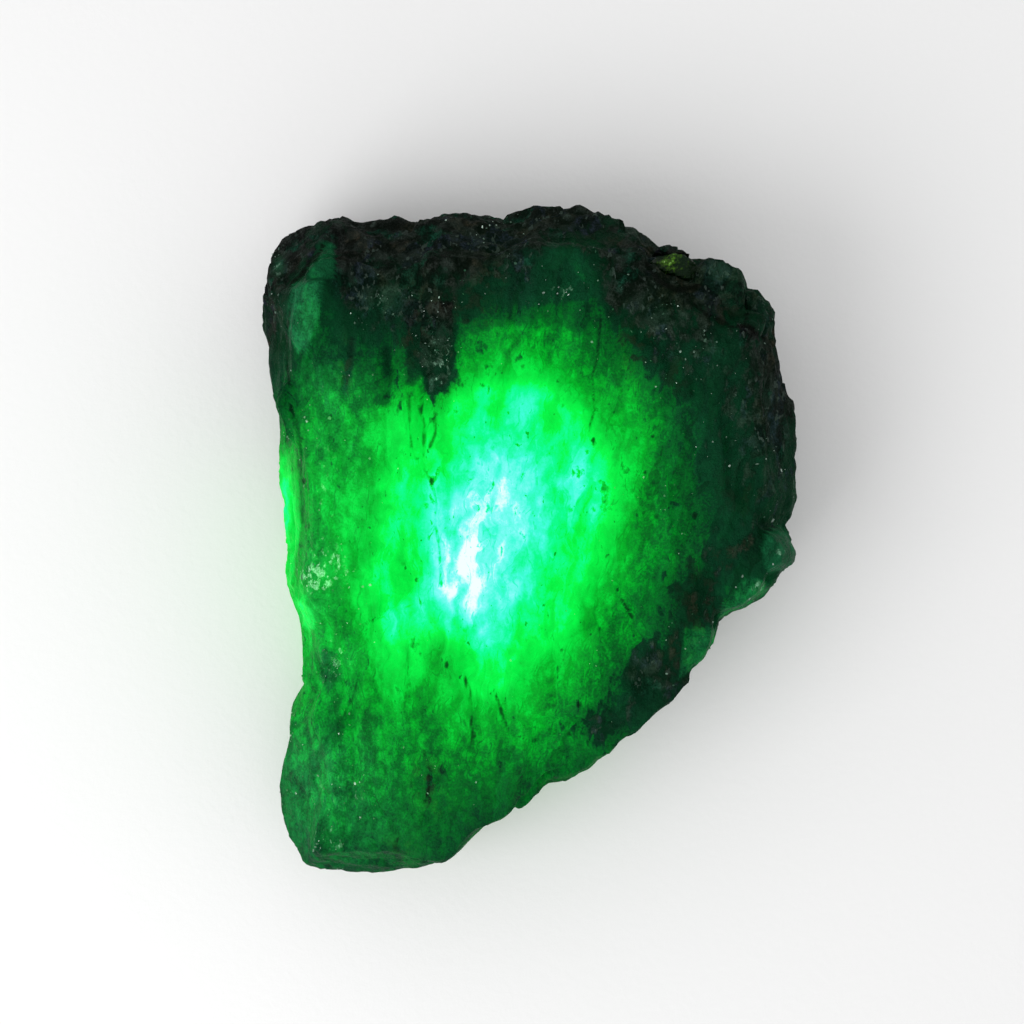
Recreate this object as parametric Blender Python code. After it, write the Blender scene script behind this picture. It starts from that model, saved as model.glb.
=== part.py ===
"""Raw emerald: one broken piece of green beryl in its dark mica rind, lying on its flat underside.

Metres, +Z up. The stone's length runs along Y and its width along X. The origin lies under the middle
of its box, on the surface that it rests on. The shape is worked out in millimetres and scaled at the end.
"""

import itertools
import math

import bmesh
import bpy
import numpy as np

# Driving dimensions, in metres.
LENGTH = 0.060
WIDTH = 0.0484
HEIGHT = 0.0215
MM = 0.001

# Corners of the stone's plan outline in millimetres, clockwise, with the straight breaks between them.
TOP_EDGE = [
    (-23.1, 26.0), (-20.8, 28.3), (-17.2, 29.4), (-15.0, 28.8), (-12.4, 29.4), (-11.0, 29.0), (-7.0, 29.6),
    (-2.5, 29.2), (-0.5, 29.5), (0.6, 30.0), (4.5, 30.0), (9.5, 28.2), (11.8, 26.6), (12.8, 26.8),
    (14.7, 25.8), (17.0, 25.8), (19.2, 24.5), (19.6, 22.9), (21.5, 21.5), (22.0, 20.3), (21.7, 18.9),
]  # fmt: skip
RIGHT_EDGE = [
    (22.5, 16.2), (23.6, 12.5), (24.1, 9.4), (23.9, 5.4), (24.1, 3.8), (22.9, 1.4), (24.2, -1.1),
    (24.0, -2.2), (22.0, -3.8), (21.1, -5.1), (19.2, -6.3), (17.2, -7.2), (16.7, -9.2), (15.9, -10.7),
]  # fmt: skip
SLANTING_EDGE = [
    (13.5, -12.9), (12.4, -14.2), (11.0, -15.4), (8.8, -17.5), (6.0, -19.8), (3.2, -21.3), (1.4, -21.7),
    (-0.3, -23.4), (-3.1, -25.3), (-6.3, -28.1), (-9.3, -29.2), (-14.1, -30.0), (-18.8, -29.6),
]  # fmt: skip
LEFT_EDGE = [
    (-20.3, -29.2), (-20.8, -27.8), (-22.4, -24.9), (-22.5, -20.8), (-21.6, -17.5), (-21.3, -14.3),
    (-20.4, -13.2), (-20.4, -9.6), (-21.9, -4.2), (-21.7, -0.7), (-22.5, 4.5), (-22.6, 11.6),
    (-23.5, 18.1), (-24.2, 20.8), (-23.8, 22.7),
]  # fmt: skip
OUTLINE = np.array(TOP_EDGE + RIGHT_EDGE + SLANTING_EDGE + LEFT_EDGE)
HUB = np.array((-2.3, 3.0))  # the outline is seen whole from here
# Wander of the widest line: rise in millimetres, waves round the stone, and where they start.
WAIST_WAVES = [(1.3, 5, 0.6), (0.9, 9, 2.1), (0.5, 16, 4.0)]

# How the side leans at each bearing round the hub, counted from +X towards +Y: degrees, then in
# millimetres how far the top's rim lies inside the outline, how high the widest line is, and how far
# the foot draws in.
SIDE = np.array([
    (0, 3.0, 9.0, 2.5), (30, 3.6, 9.0, 3.0), (48, 4.2, 9.0, 3.0), (66, 4.6, 7.5, 2.0), (90, 5.6, 6.0, 1.5),
    (112, 5.8, 6.0, 1.5), (130, 4.4, 6.0, 1.5), (150, 2.2, 6.0, 1.2), (180, 1.8, 5.0, 1.0), (205, 2.2, 5.0, 1.0),
    (222, 4.6, 5.0, 1.5), (234, 4.4, 6.0, 1.6), (246, 2.0, 7.0, 2.5), (270, 1.0, 8.0, 4.0), (300, 0.9, 9.5, 5.0),
    (330, 1.2, 9.5, 4.5), (345, 1.8, 9.5, 3.5),
])  # fmt: skip

# The top face: its height over the hub, what it gains for each millimetre along X and Y, and how much
# lower its rim lies than its middle.
TOP_HEIGHT = 19.6
TOP_SLOPE = np.array((0.06, 0.07))
TOP_DROP = 1.7
# Swells and hollows of the top face, in millimetres: middle x, y, reach along x, y, and rise.
SWELLS = [
    (-3.5, -2.0, 8.5, 18.0, 1.3),  # broad back down the middle
    (-18.6, 19.6, 1.8, 5.0, 1.1),  # green lens in the top left corner
    (-13.5, 21.0, 3.0, 6.0, -0.9),  # hollow between the lens and the back
    (4.0, 23.0, 5.5, 4.5, 0.9),  # green shoulder behind the top edge
    (11.5, 15.0, 6.5, 6.0, 0.8),  # dark shoulder on the right
    (13.4, 24.4, 2.7, 1.7, -2.2),  # pocket that holds the olive grain
    (13.4, 24.4, 1.7, 0.9, 1.7),  # the olive grain in it
    (18.6, 21.0, 2.6, 2.0, 0.9),  # knob of the rind beside the pocket
    (15.0, -4.0, 6.0, 6.0, -0.7),  # hollow above the slanting edge
    (-17.0, -1.5, 2.4, 6.0, 0.7),  # sugary swell beside the left edge
    (-17.5, -12.0, 2.8, 4.5, -1.2),  # bay above the foot lobe
    (-13.5, -21.5, 6.0, 6.5, 0.9),  # foot lobe
]
# Ledges of the top face, in millimetres: corners of the line, what the side on its right hand loses,
# how wide the step is, and how far out the loss lasts.
LEDGES = [
    ([(-15.2, 30.0), (-17.3, 27.7), (-19.6, 25.4), (-20.8, 23.0), (-21.5, 18.0), (-21.3, 12.0)], 1.9, 0.9, 5.0),
    ([(7.0, 26.4), (10.6, 23.7), (13.4, 22.6), (15.8, 20.8), (19.1, 19.3), (21.6, 18.0), (22.6, 15.6)], -0.9, 0.8, 3.0),
    ([(-20.6, -8.5), (-17.4, -10.2), (-15.2, -14.5), (-14.6, -18.5), (-15.0, -23.5)], 1.3, 1.3, 4.0),
]  # fmt: skip
# Clefts of the top face, in millimetres: corners of the line, depth and half width.
CLEFTS = [
    ([(10.6, 23.6), (13.4, 22.4), (15.8, 20.6), (19.1, 19.1), (21.8, 17.8)], 1.4, 0.7),
    ([(-17.6, 27.4), (-19.8, 25.2), (-21.1, 22.4)], 0.9, 0.7),
    ([(-9.0, 15.0), (-9.6, 7.0), (-8.8, 0.0)], 0.5, 0.6),
]

# Flat breaks in millimetres: middle x, y, z, the way each one faces (bearing, then degrees above the
# horizon), and its reach.
BREAKS = [
    (-21.0, -21.5, 9.5, 184, 34, 9.0),  # bevel down the foot lobe
    (-19.8, -11.5, 10.0, 205, 30, 5.5),  # bevel in the bay
    (-21.5, 3.0, 10.0, 182, 20, 11.0),  # clear window in the left edge
    (-23.3, 16.5, 10.0, 176, 26, 8.0),  # rind below the top left corner
    (-20.6, 25.8, 12.0, 132, 32, 8.0),  # the top left corner
    (-13.0, 26.8, 14.0, 97, 44, 7.0),  # top edge, left part
    (-4.5, 27.2, 14.5, 86, 38, 6.5),  # top edge, middle
    (4.0, 27.6, 14.5, 84, 40, 6.5),  # top edge, right part
    (12.5, 25.0, 15.5, 58, 42, 5.0),  # the pocket's side
    (21.2, 19.4, 13.0, 36, 32, 6.0),  # the knob's outer face
    (22.6, 9.5, 13.0, 6, 32, 8.0),  # right edge
    (22.8, -1.6, 11.0, 350, 18, 3.5),  # the nose
    (18.2, -6.2, 12.0, 300, 16, 4.5),  # clear chip beside the nose
    (14.4, -11.0, 11.0, 320, 14, 6.0),  # clear chip on the slanting edge
    (7.8, -18.9, 10.0, 312, 6, 9.0),  # slanting edge
    (-3.0, -26.0, 10.0, 306, 10, 8.0),  # slanting edge by the foot
    (-13.5, -29.2, 10.8, 266, 24, 8.0),  # end of the foot lobe
    (11.2, -16.3, 4.0, 314, -36, 11.0),  # undercut below the slanting edge
    (-4.0, -26.2, 4.0, 300, -30, 9.0),  # undercut below the foot
    (22.0, 6.0, 4.0, 0, -30, 11.0),  # undercut below the right edge
    (17.2, 24.2, 4.5, 48, -26, 10.0),  # undercut below the knob
    (-8.0, 28.2, 3.5, 92, -34, 11.0),  # undercut below the top edge
    (-23.2, 20.0, 3.5, 170, -32, 9.0),  # undercut below the top left corner
]

# The beryl grew along Y and split in sheets across Z, so its broken grain is long along Y and thin
# along Z.
GRAIN = np.array((1.0, 1.8, 0.62))
RELIEF = [(9.0, 1.3, 3), (4.4, 0.7, 7)]  # cell across X and depth in millimetres, and the draw's number
FACET_BLEND = 22.0  # how sharply one broken cell gives way to the next
WAIST_CALM = 0.85  # share of the relief that is held back on the widest line

# Shares of the sheet of vertices on the top face and the side; the underside has the rest.
TOP_SHARE = 0.42
SIDE_SHARE = 0.37
SIDE_ROUNDING = 0.55  # 0 for a side of two flat slopes, 1 for a rounded one
WAIST = 0.5  # where the widest line lies between the rim and the foot, as a share of the side
UNDERSIDE_RISE = 1.5  # how far the underside lifts towards its edge, in millimetres
UNDERSIDE_FLAT = 0.70  # share of the underside's reach that stays flat
HEART_REACH = 0.62  # the stone's heart plate is its plan, shrunk by this much about the hub
HEART_HEIGHT = 9.0  # and lies this high, in millimetres

CUTS = 27  # each edge of the starting cube is cut this many times

EMERALD = (0.012, 0.105, 0.040, 1.0)


def outline_radius(bearing):
    """Distance from the hub to the outline: where the ray meets the straight stretch between two corners."""
    corners = OUTLINE - HUB
    angle = np.mod(np.arctan2(corners[:, 1], corners[:, 0]), math.tau)
    order = np.argsort(angle)
    corners, angle = corners[order], angle[order]
    after = np.searchsorted(angle, bearing) % len(angle)
    start, end = corners[after - 1], corners[after]
    along = end - start
    ray = np.stack((np.cos(bearing), np.sin(bearing)), axis=-1)
    return (start[:, 0] * along[:, 1] - start[:, 1] * along[:, 0]) / (
        ray[:, 0] * along[:, 1] - ray[:, 1] * along[:, 0]
    )


def side_at(bearing):
    """The three columns of SIDE at each bearing, read straight between its rows."""
    degrees = np.degrees(bearing)
    return [np.interp(degrees, SIDE[:, 0], column, period=360) for column in SIDE.T[1:]]


def beside_line(plan, line):
    """Distance from each plan point to a line of corners, and how far it lies off the nearest stretch's
    own course, counted as positive on the right hand of someone walking the line."""
    distance = np.full(len(plan), np.inf)
    offset = np.zeros(len(plan))
    for start, end in zip(np.array(line[:-1]), np.array(line[1:])):
        along = end - start
        length = math.hypot(*along)
        gap = plan - start
        share = np.clip(gap @ along / length**2, 0, 1)
        away = np.hypot(*(gap - share[:, None] * along).T)
        side = (gap[:, 0] * along[1] - gap[:, 1] * along[0]) / length
        offset = np.where(away < distance, side, offset)
        distance = np.minimum(distance, away)
    return distance, offset


def top_height(plan, share_out):
    """Height of the top face: a tilted plane, a drop towards the rim that grows as the square of the
    way out, a bell for each swell, a step for each ledge and a narrow bell for each cleft."""
    height = TOP_HEIGHT + (plan - HUB) @ TOP_SLOPE - TOP_DROP * share_out**2
    for x, y, reach_x, reach_y, rise in SWELLS:
        bell = ((plan[:, 0] - x) / reach_x) ** 2 + ((plan[:, 1] - y) / reach_y) ** 2
        height = height + rise * np.exp(-bell)
    for line, loss, width, reach in LEDGES:
        distance, offset = beside_line(plan, line)
        height = height - loss * eased(0.5 + offset / width) * np.exp(-((distance / reach) ** 2))
    for line, depth, width in CLEFTS:
        distance, _ = beside_line(plan, line)
        height = height - depth * np.exp(-((distance / width) ** 2))
    return height


def eased(value):
    """0 below 0, 1 above 1, and a smooth climb between."""
    value = np.clip(value, 0, 1)
    return value * value * (3 - 2 * value)


def side_bend(share):
    """How far out and how far down a side has come at a share of the way from its rim to the widest
    line: part straight slope, part quarter ellipse."""
    angle = share * math.pi / 2
    out = share + SIDE_ROUNDING * (np.sin(angle) - share)
    down = share + SIDE_ROUNDING * (1 - np.cos(angle) - share)
    return out, down


def loft(directions):
    """Carries unit directions onto the stone without its relief, and returns the points and the share
    of the relief that each one takes: little on the widest line and none on the flat of the underside.

    A direction's share of the sphere's area below it, from the north pole, says whether it belongs to
    the top face, the side or the underside. On the top and the underside the way out grows as the
    square root of that share, so the vertices lie evenly. The side is two bends that meet on the
    widest line.
    """
    bearing = np.mod(np.arctan2(directions[:, 1], directions[:, 0]), math.tau)
    share = (1 - directions[:, 2]) / 2
    ray = np.stack((np.cos(bearing), np.sin(bearing)), axis=-1)
    edge = outline_radius(bearing)
    rim_inset, waist_height, foot_inset = side_at(bearing)
    waist_height = waist_height + sum(rise * np.sin(turns * bearing + start) for rise, turns, start in WAIST_WAVES)
    rim, foot = edge - rim_inset, edge - foot_inset

    out_top = np.sqrt(np.clip(share / TOP_SHARE, 0, 1))
    down = np.clip((share - TOP_SHARE) / SIDE_SHARE, 0, 1)
    out_under = np.sqrt(np.clip((1 - share) / (1 - TOP_SHARE - SIDE_SHARE), 0, 1))

    height = top_height(HUB + ray * (rim * out_top)[:, None], out_top)
    gained, sunk = side_bend(np.clip(down / WAIST, 0, 1))
    kept, risen = side_bend(np.clip((1 - down) / (1 - WAIST), 0, 1))
    reach = rim * out_top + (edge - rim) * gained - (edge - foot) * (1 - kept)
    height = height + (waist_height - height) * sunk
    lift = UNDERSIDE_RISE * eased((out_under - UNDERSIDE_FLAT) / (1 - UNDERSIDE_FLAT))
    height = np.where(down > WAIST, lift + (waist_height - lift) * risen, height)
    reach = reach * np.where(down >= 1, out_under, 1)

    points = np.column_stack((HUB + ray * reach[:, None], height))
    waist_share = TOP_SHARE + SIDE_SHARE * WAIST
    calm = WAIST_CALM * np.exp(-(((share - waist_share) / (0.13 * SIDE_SHARE)) ** 2))
    return points, (1 - calm) * np.where(down >= 1, eased(1.6 * out_under - 0.6), 1)


def from_heart(points):
    """Steps from the stone's heart plate, a shrunken copy of its plan at one height, to each point."""
    plan = HUB + HEART_REACH * (points[:, :2] - HUB)
    return points - np.column_stack((plan, np.full(len(points), HEART_HEIGHT)))


def lattice_draw(cell, number):
    """A fixed draw from -1 to 1 for each whole-numbered lattice point: its coordinates, multiplied by
    large odd numbers, are folded together and shifted."""
    mixed = cell[:, 0] * 374761393 + cell[:, 1] * 668265263 + cell[:, 2] * 1274126177 + number * 362437
    mixed = (mixed & 0xFFFFFFFF) ^ ((mixed & 0xFFFFFFFF) >> 15)
    mixed = (mixed * 2246822519) & 0xFFFFFFFF
    return ((mixed ^ (mixed >> 13)) & 0xFFFF) / 32767.5 - 1


def broken_cells(points, size, number):
    """Relief from about -1 to 1 for a rock that breaks in cells: every cell has a jittered seed and a
    plane tilted its own way, and a point takes the planes of the seeds round it, the near ones most."""
    place = points / (size * GRAIN)
    home = np.floor(place).astype(np.int64)
    total = np.zeros(len(points))
    weights = np.zeros(len(points))
    for step in itertools.product((-1, 0, 1), repeat=3):
        cell = home + np.array(step)
        jitter = np.column_stack([lattice_draw(cell, number + axis) for axis in range(3)])
        tilt = np.column_stack([lattice_draw(cell, number + 3 + axis) for axis in range(3)])
        offset = place - (cell + 0.5 + 0.4 * jitter)
        weight = np.exp(-FACET_BLEND * np.sum(offset**2, axis=1)) + 1e-12
        total += weight * (np.sum(offset * tilt, axis=1) + 0.4 * lattice_draw(cell, number + 6))
        weights += weight
    return total / weights


def broken_flat(points, x, y, z, bearing, rise, reach):
    """Draws what stands beyond a plane in towards the stone's heart until it lies on the plane, wholly
    near the plane's middle and not at all past its reach."""
    bearing, rise = math.radians(bearing), math.radians(rise)
    normal = np.array((
        math.cos(rise) * math.cos(bearing),
        math.cos(rise) * math.sin(bearing),
        math.sin(rise),
    ))
    offset = points - np.array((x, y, z))
    step = from_heart(points)
    facing = step @ normal
    beyond = np.clip(offset @ normal, 0, None)
    hold = eased(2.4 * (1 - np.linalg.norm(offset, axis=1) / reach))
    share = np.where(facing > 0.5, beyond / np.maximum(facing, 0.5), 0)
    return points - step * (np.clip(share, 0, 0.6) * hold)[:, None]


def within_outline(plan):
    """Draws plan points that stand outside the outline back onto it, towards the hub."""
    offset = plan - HUB
    edge = outline_radius(np.mod(np.arctan2(offset[:, 1], offset[:, 0]), math.tau))
    away = np.maximum(np.hypot(offset[:, 0], offset[:, 1]), 1e-9)
    return HUB + offset * np.minimum(edge / away, 1)[:, None]


def stone_points(directions):
    """The stone's surface in metres for unit directions: the loft, its relief, its flat breaks and the
    flat underside, fitted to the driving dimensions."""
    points, relief_share = loft(directions)
    relief = sum(depth * broken_cells(points, size, number) for size, depth, number in RELIEF)
    outwards = from_heart(points)
    outwards = outwards / np.linalg.norm(outwards, axis=1)[:, None]
    points = points + outwards * (relief * relief_share)[:, None]
    for flat in BREAKS:
        points = broken_flat(points, *flat)
    points[:, :2] = within_outline(points[:, :2])
    points[:, 2] = np.clip(points[:, 2], 0, None)
    low, high = points.min(axis=0), points.max(axis=0)
    size = np.array((WIDTH, LENGTH, HEIGHT))
    base = np.array((-WIDTH / 2, -LENGTH / 2, 0))
    return base + (points - low) / (high - low) * size


def cube_sphere(mesh):
    """Fills a bmesh with a finely cut cube, and returns the unit direction of each of its vertices.
    The tangent evens out the squares between a face's middle and its corners."""
    bmesh.ops.create_cube(mesh, size=2)
    bmesh.ops.subdivide_edges(mesh, edges=mesh.edges[:], cuts=CUTS, use_grid_fill=True)
    cube = np.array([vertex.co for vertex in mesh.verts], dtype=float)
    cube = np.tan(cube * math.pi / 4)
    return cube / np.linalg.norm(cube, axis=1)[:, None]


def emerald_material():
    material = bpy.data.materials.new("emerald_rough")
    material.use_nodes = True
    shader = material.node_tree.nodes["Principled BSDF"]
    shader.inputs["Base Color"].default_value = EMERALD
    shader.inputs["Roughness"].default_value = 0.5
    shader.inputs["Metallic"].default_value = 0.0
    shader.inputs["IOR"].default_value = 1.58
    material.diffuse_color = EMERALD
    return material


def raw_emerald(collection):
    """The whole stone: crystal, mica rind and olive grain grew together, so they are one solid."""
    surface = bmesh.new()
    directions = cube_sphere(surface)
    for vertex, place in zip(surface.verts, stone_points(directions)):
        vertex.co = place
    bmesh.ops.triangulate(surface, faces=surface.faces[:], quad_method="SHORT_EDGE")
    bmesh.ops.recalc_face_normals(surface, faces=surface.faces[:])
    mesh = bpy.data.meshes.new("raw_emerald")
    surface.to_mesh(mesh)
    surface.free()
    mesh.materials.append(emerald_material())
    stone = bpy.data.objects.new("raw_emerald", mesh)
    collection.objects.link(stone)
    return stone


def main():
    for old in list(bpy.data.objects):
        bpy.data.objects.remove(old)
    collection = bpy.data.collections.new("raw_emerald")
    bpy.context.scene.collection.children.link(collection)
    raw_emerald(collection)


main()
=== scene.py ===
"""Raw emerald on a pale studio floor: a broken piece of green beryl in its dark mica rind, with a painted glow
that stands for a small lamp below it, which is not in the scene. Laid out as an add-on and run as a script.
Shapes are worked out in millimetres and put into the meshes in metres."""

import itertools
import math

import bpy
import numpy as np
from bpy.props import (
    FloatProperty,
    FloatVectorProperty,
    IntProperty,
    PointerProperty,
)
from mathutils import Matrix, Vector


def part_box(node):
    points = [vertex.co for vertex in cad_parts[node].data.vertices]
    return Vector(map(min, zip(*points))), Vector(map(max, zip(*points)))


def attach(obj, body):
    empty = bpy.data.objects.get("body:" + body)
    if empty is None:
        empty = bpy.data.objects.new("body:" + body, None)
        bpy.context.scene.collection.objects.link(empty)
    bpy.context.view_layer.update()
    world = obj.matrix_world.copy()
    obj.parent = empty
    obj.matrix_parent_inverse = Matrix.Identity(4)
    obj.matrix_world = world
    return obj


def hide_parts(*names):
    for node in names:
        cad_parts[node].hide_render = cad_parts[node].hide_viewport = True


bl_info = {
    "name": "Raw emerald",
    "version": (1, 0, 0),
    "blender": (4, 5, 0),
    "location": "View3D > Sidebar > Raw emerald",
    "description": "Builds a rough emerald with its mica rind, mica flakes and olive grain, and a stage for it",
    "category": "Object",
}

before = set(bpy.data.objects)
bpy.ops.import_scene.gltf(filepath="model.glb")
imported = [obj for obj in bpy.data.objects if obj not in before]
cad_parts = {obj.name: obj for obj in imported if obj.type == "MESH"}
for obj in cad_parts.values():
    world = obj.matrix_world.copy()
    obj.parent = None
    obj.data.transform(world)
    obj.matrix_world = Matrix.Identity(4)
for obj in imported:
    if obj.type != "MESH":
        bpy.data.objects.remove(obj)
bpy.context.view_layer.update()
STONE_BOX = np.array([list(corner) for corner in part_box("raw_emerald")]) * 1000  # millimetres

MM = 0.001

# Corners of the stone's plan outline in millimetres, clockwise, with the straight breaks between them.
OUTLINE = np.array([
    (-23.1, 26.0), (-22.2, 27.4), (-20.8, 28.3), (-19.4, 28.7), (-17.8, 29.4), (-16.6, 29.4), (-15.9, 29.0),
    (-14.3, 28.8), (-13.5, 29.2), (-11.9, 29.4), (-11.0, 29.0), (-9.0, 29.2), (-7.7, 29.6), (-5.8, 29.6),
    (-2.5, 29.2), (-0.5, 29.5), (0.5, 30.0), (4.5, 30.0), (6.4, 29.3), (9.5, 28.2), (11.2, 27.2),
    (11.8, 26.6), (12.6, 26.8), (14.7, 25.8), (16.4, 25.9), (17.8, 25.4), (19.2, 24.5), (19.7, 23.6),
    (19.6, 22.9), (20.4, 22.7), (21.5, 21.5), (22.0, 20.5), (21.7, 18.9), (22.5, 16.2), (23.0, 13.7),
    (23.6, 12.5), (23.7, 10.9), (24.1, 9.4), (23.9, 5.4), (24.1, 3.8), (23.7, 2.6), (22.9, 1.4),
    (23.4, 0.6), (24.2, -1.1), (24.0, -2.1), (22.8, -2.8), (22.0, -3.8), (21.1, -5.1), (19.4, -6.2),
    (18.2, -6.5), (17.2, -7.2), (16.6, -9.5), (15.9, -10.7), (14.7, -11.7), (13.5, -12.9), (12.4, -14.2),
    (11.2, -15.2), (9.8, -16.7), (8.8, -17.5), (6.7, -19.3), (5.3, -20.3), (3.2, -21.3), (1.6, -21.6),
    (0.9, -22.2), (-0.3, -23.4), (-2.0, -24.7), (-3.1, -25.3), (-5.0, -26.7), (-6.3, -28.1), (-7.6, -28.7),
    (-9.3, -29.2), (-11.7, -29.6), (-14.1, -30.0), (-15.9, -29.8), (-18.8, -29.6), (-20.3, -29.2),
    (-20.6, -28.2), (-21.8, -26.3), (-22.4, -24.9), (-22.6, -22.2), (-22.0, -19.4), (-21.6, -18.0),
    (-21.6, -16.6), (-21.3, -14.3), (-20.4, -13.3), (-20.3, -10.6), (-20.6, -7.8), (-21.1, -6.3),
    (-21.9, -4.0), (-21.7, -0.7), (-22.2, 3.6), (-22.6, 5.0), (-22.6, 11.6), (-23.0, 13.7), (-23.5, 18.1),
    (-24.0, 19.1), (-24.2, 21.4), (-23.8, 22.7), (-23.4, 24.3),
])  # fmt: skip
HUB = np.array((-2.3, 3.0))  # the outline is seen whole from here
# Wander of the widest line: rise in millimetres, waves round the stone, and where they start.
WAIST_WAVES = [(1.3, 5, 0.6), (0.9, 9, 2.1), (0.5, 16, 4.0)]

# How the side leans at each bearing round the hub, counted from +X towards +Y: degrees, then in
# millimetres how far the top's rim lies inside the outline, how high the widest line is, and how far
# the foot draws in.
SIDE = np.array([
    (0, 3.0, 9.0, 2.5), (30, 3.6, 9.0, 3.0), (48, 4.2, 9.0, 3.0), (66, 4.6, 8.5, 2.0), (90, 5.2, 8.0, 1.5),
    (112, 5.4, 8.0, 1.5), (130, 4.4, 7.5, 1.5), (150, 2.2, 7.0, 1.2), (180, 1.8, 6.0, 1.0), (205, 2.2, 6.0, 1.0),
    (222, 4.6, 6.0, 1.5), (234, 4.4, 6.5, 1.6), (246, 2.0, 7.0, 2.5), (270, 1.0, 8.0, 4.0), (300, 0.9, 9.5, 5.0),
    (330, 1.2, 9.5, 4.5), (345, 1.8, 9.5, 3.5),
])  # fmt: skip

# The top face: its height over the hub, what it gains for each millimetre along X and Y, and how much
# lower its rim lies than its middle.
TOP_HEIGHT = 19.6
TOP_SLOPE = np.array((0.06, 0.07))
TOP_DROP = 1.7
FACET_HEIGHT = 18.1  # the height at which the facets' corners are seen
# Swells and hollows of the top face, in millimetres: middle x, y, reach along x, y, and rise.
SWELLS = [
    (-3.5, -2.0, 8.5, 18.0, 1.3),  # broad back down the middle
    (-18.9, 20.4, 1.7, 5.0, 1.1),  # green lens in the top left corner
    (-13.5, 21.0, 3.0, 6.0, -0.9),  # hollow between the lens and the back
    (4.0, 23.0, 5.5, 4.5, 0.9),  # green shoulder behind the top edge
    (11.5, 15.0, 6.5, 6.0, 0.8),  # dark shoulder on the right
    (13.4, 24.2, 2.7, 1.6, -2.2),  # pocket that holds the olive grain
    (17.6, 21.8, 2.4, 2.2, -0.8),  # seat of the rind knob beside the pocket
    (15.0, -4.0, 6.0, 6.0, -0.7),  # hollow above the slanting edge
    (-17.0, -1.5, 2.4, 6.0, 0.7),  # sugary swell beside the left edge
    (-17.5, -12.0, 2.8, 4.5, -1.2),  # bay above the foot lobe
    (-13.5, -21.5, 6.0, 6.5, 0.9),  # foot lobe
]
# Ledges of the top face, in millimetres: corners of the line, what the side on its right hand loses,
# how wide the step is, and how far out the loss lasts.
LEDGES = [
    ([(-15.2, 30.0), (-17.3, 27.7), (-19.6, 25.4), (-20.8, 23.0), (-21.5, 18.0), (-21.3, 12.0)], 1.9, 0.6, 5.0),
    (
        [(7.0, 26.4), (10.6, 23.7), (13.4, 22.6), (15.8, 20.8), (19.1, 19.3), (21.6, 18.0), (22.6, 15.6)],
        -0.9, 0.5, 3.0,
    ),
    ([(-20.6, -8.5), (-17.4, -10.2), (-15.2, -14.5), (-14.6, -18.5), (-15.0, -23.5)], 1.3, 1.0, 4.0),
]  # fmt: skip
# Clefts of the top face, in millimetres: corners of the line, depth and half width.
CLEFTS = [
    ([(10.6, 23.6), (13.4, 22.4), (15.8, 20.6), (19.1, 19.1), (21.8, 17.8)], 1.4, 0.5),
    ([(19.6, 23.2), (19.6, 21.4), (19.4, 19.4)], 1.0, 0.4),
    ([(-17.6, 27.4), (-19.8, 25.2), (-21.1, 22.4)], 0.9, 0.5),
    ([(-9.0, 15.0), (-9.6, 7.0), (-8.8, 0.0)], 0.5, 0.6),
]

# Flat breaks in millimetres: middle x, y, z, the way each one faces (bearing, then degrees above the
# horizon), and its reach.
BREAKS = [
    (-21.0, -21.5, 9.5, 184, 34, 9.0),  # bevel down the foot lobe
    (-19.8, -11.5, 10.0, 205, 30, 5.5),  # bevel in the bay
    (-21.5, 3.0, 10.0, 182, 20, 11.0),  # clear window in the left edge
    (-23.3, 16.5, 10.0, 176, 26, 8.0),  # rind below the top left corner
    (-20.6, 25.8, 12.0, 132, 32, 8.0),  # the top left corner
    (-13.0, 26.8, 14.0, 97, 44, 7.0),  # top edge, left part
    (-4.5, 27.2, 14.5, 86, 38, 6.5),  # top edge, middle
    (4.0, 27.6, 14.5, 84, 40, 6.5),  # top edge, right part
    (12.5, 25.0, 15.5, 58, 42, 5.0),  # the pocket's side
    (21.2, 19.4, 13.0, 36, 32, 6.0),  # the knob's outer face
    (22.6, 9.5, 13.0, 6, 32, 8.0),  # right edge
    (22.8, -1.6, 11.0, 350, 18, 3.5),  # the nose
    (18.2, -6.2, 12.0, 300, 16, 4.5),  # clear chip beside the nose
    (14.4, -11.0, 11.0, 320, 14, 6.0),  # clear chip on the slanting edge
    (7.8, -18.9, 10.0, 312, 6, 9.0),  # slanting edge
    (-3.0, -26.0, 10.0, 306, 10, 8.0),  # slanting edge by the foot
    (-13.5, -29.2, 10.8, 266, 24, 8.0),  # end of the foot lobe
    (11.2, -16.3, 4.0, 314, -36, 11.0),  # undercut below the slanting edge
    (-4.0, -26.2, 4.0, 300, -30, 9.0),  # undercut below the foot
    (22.0, 6.0, 4.0, 0, -30, 11.0),  # undercut below the right edge
    (17.2, 24.2, 3.6, 48, -28, 10.0),  # undercut below the knob
    (-8.0, 28.0, 2.2, 92, -34, 11.0),  # undercut below the top edge
    (-23.2, 20.0, 2.6, 170, -32, 9.0),  # undercut below the top left corner
]

# The beryl grew along Y and split in sheets across Z, so its broken grain is long along Y and thin
# along Z.
GRAIN = np.array((1.0, 1.8, 0.62))
# Cell across X and depth in millimetres, and the draw's number: the coarse relief and the fine.
RELIEF = [(9.0, 1.3, 3), (4.4, 0.7, 7)]
FINE_RELIEF = [(2.1, 0.34, 11), (1.0, 0.17, 19)]
# Odd numbers that stir a lattice point's coordinates into its draw.
DRAW_FACTORS = np.array((374761393, 668265263, 1274126177))
DRAW_STEP, DRAW_STIR, DRAW_BITS = 362437, 2246822519, 0xFFFFFFFF
FINE_INSET = 0.22  # room that the fine relief needs inside the outline, in millimetres
FACET_BLEND = 22.0  # how sharply one broken cell gives way to the next
WAIST_CALM = 0.85  # share of the coarse relief that is held back on the widest line
WAIST_CALM_REACH = 0.13  # and how far that reaches, as a share of the side

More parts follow.
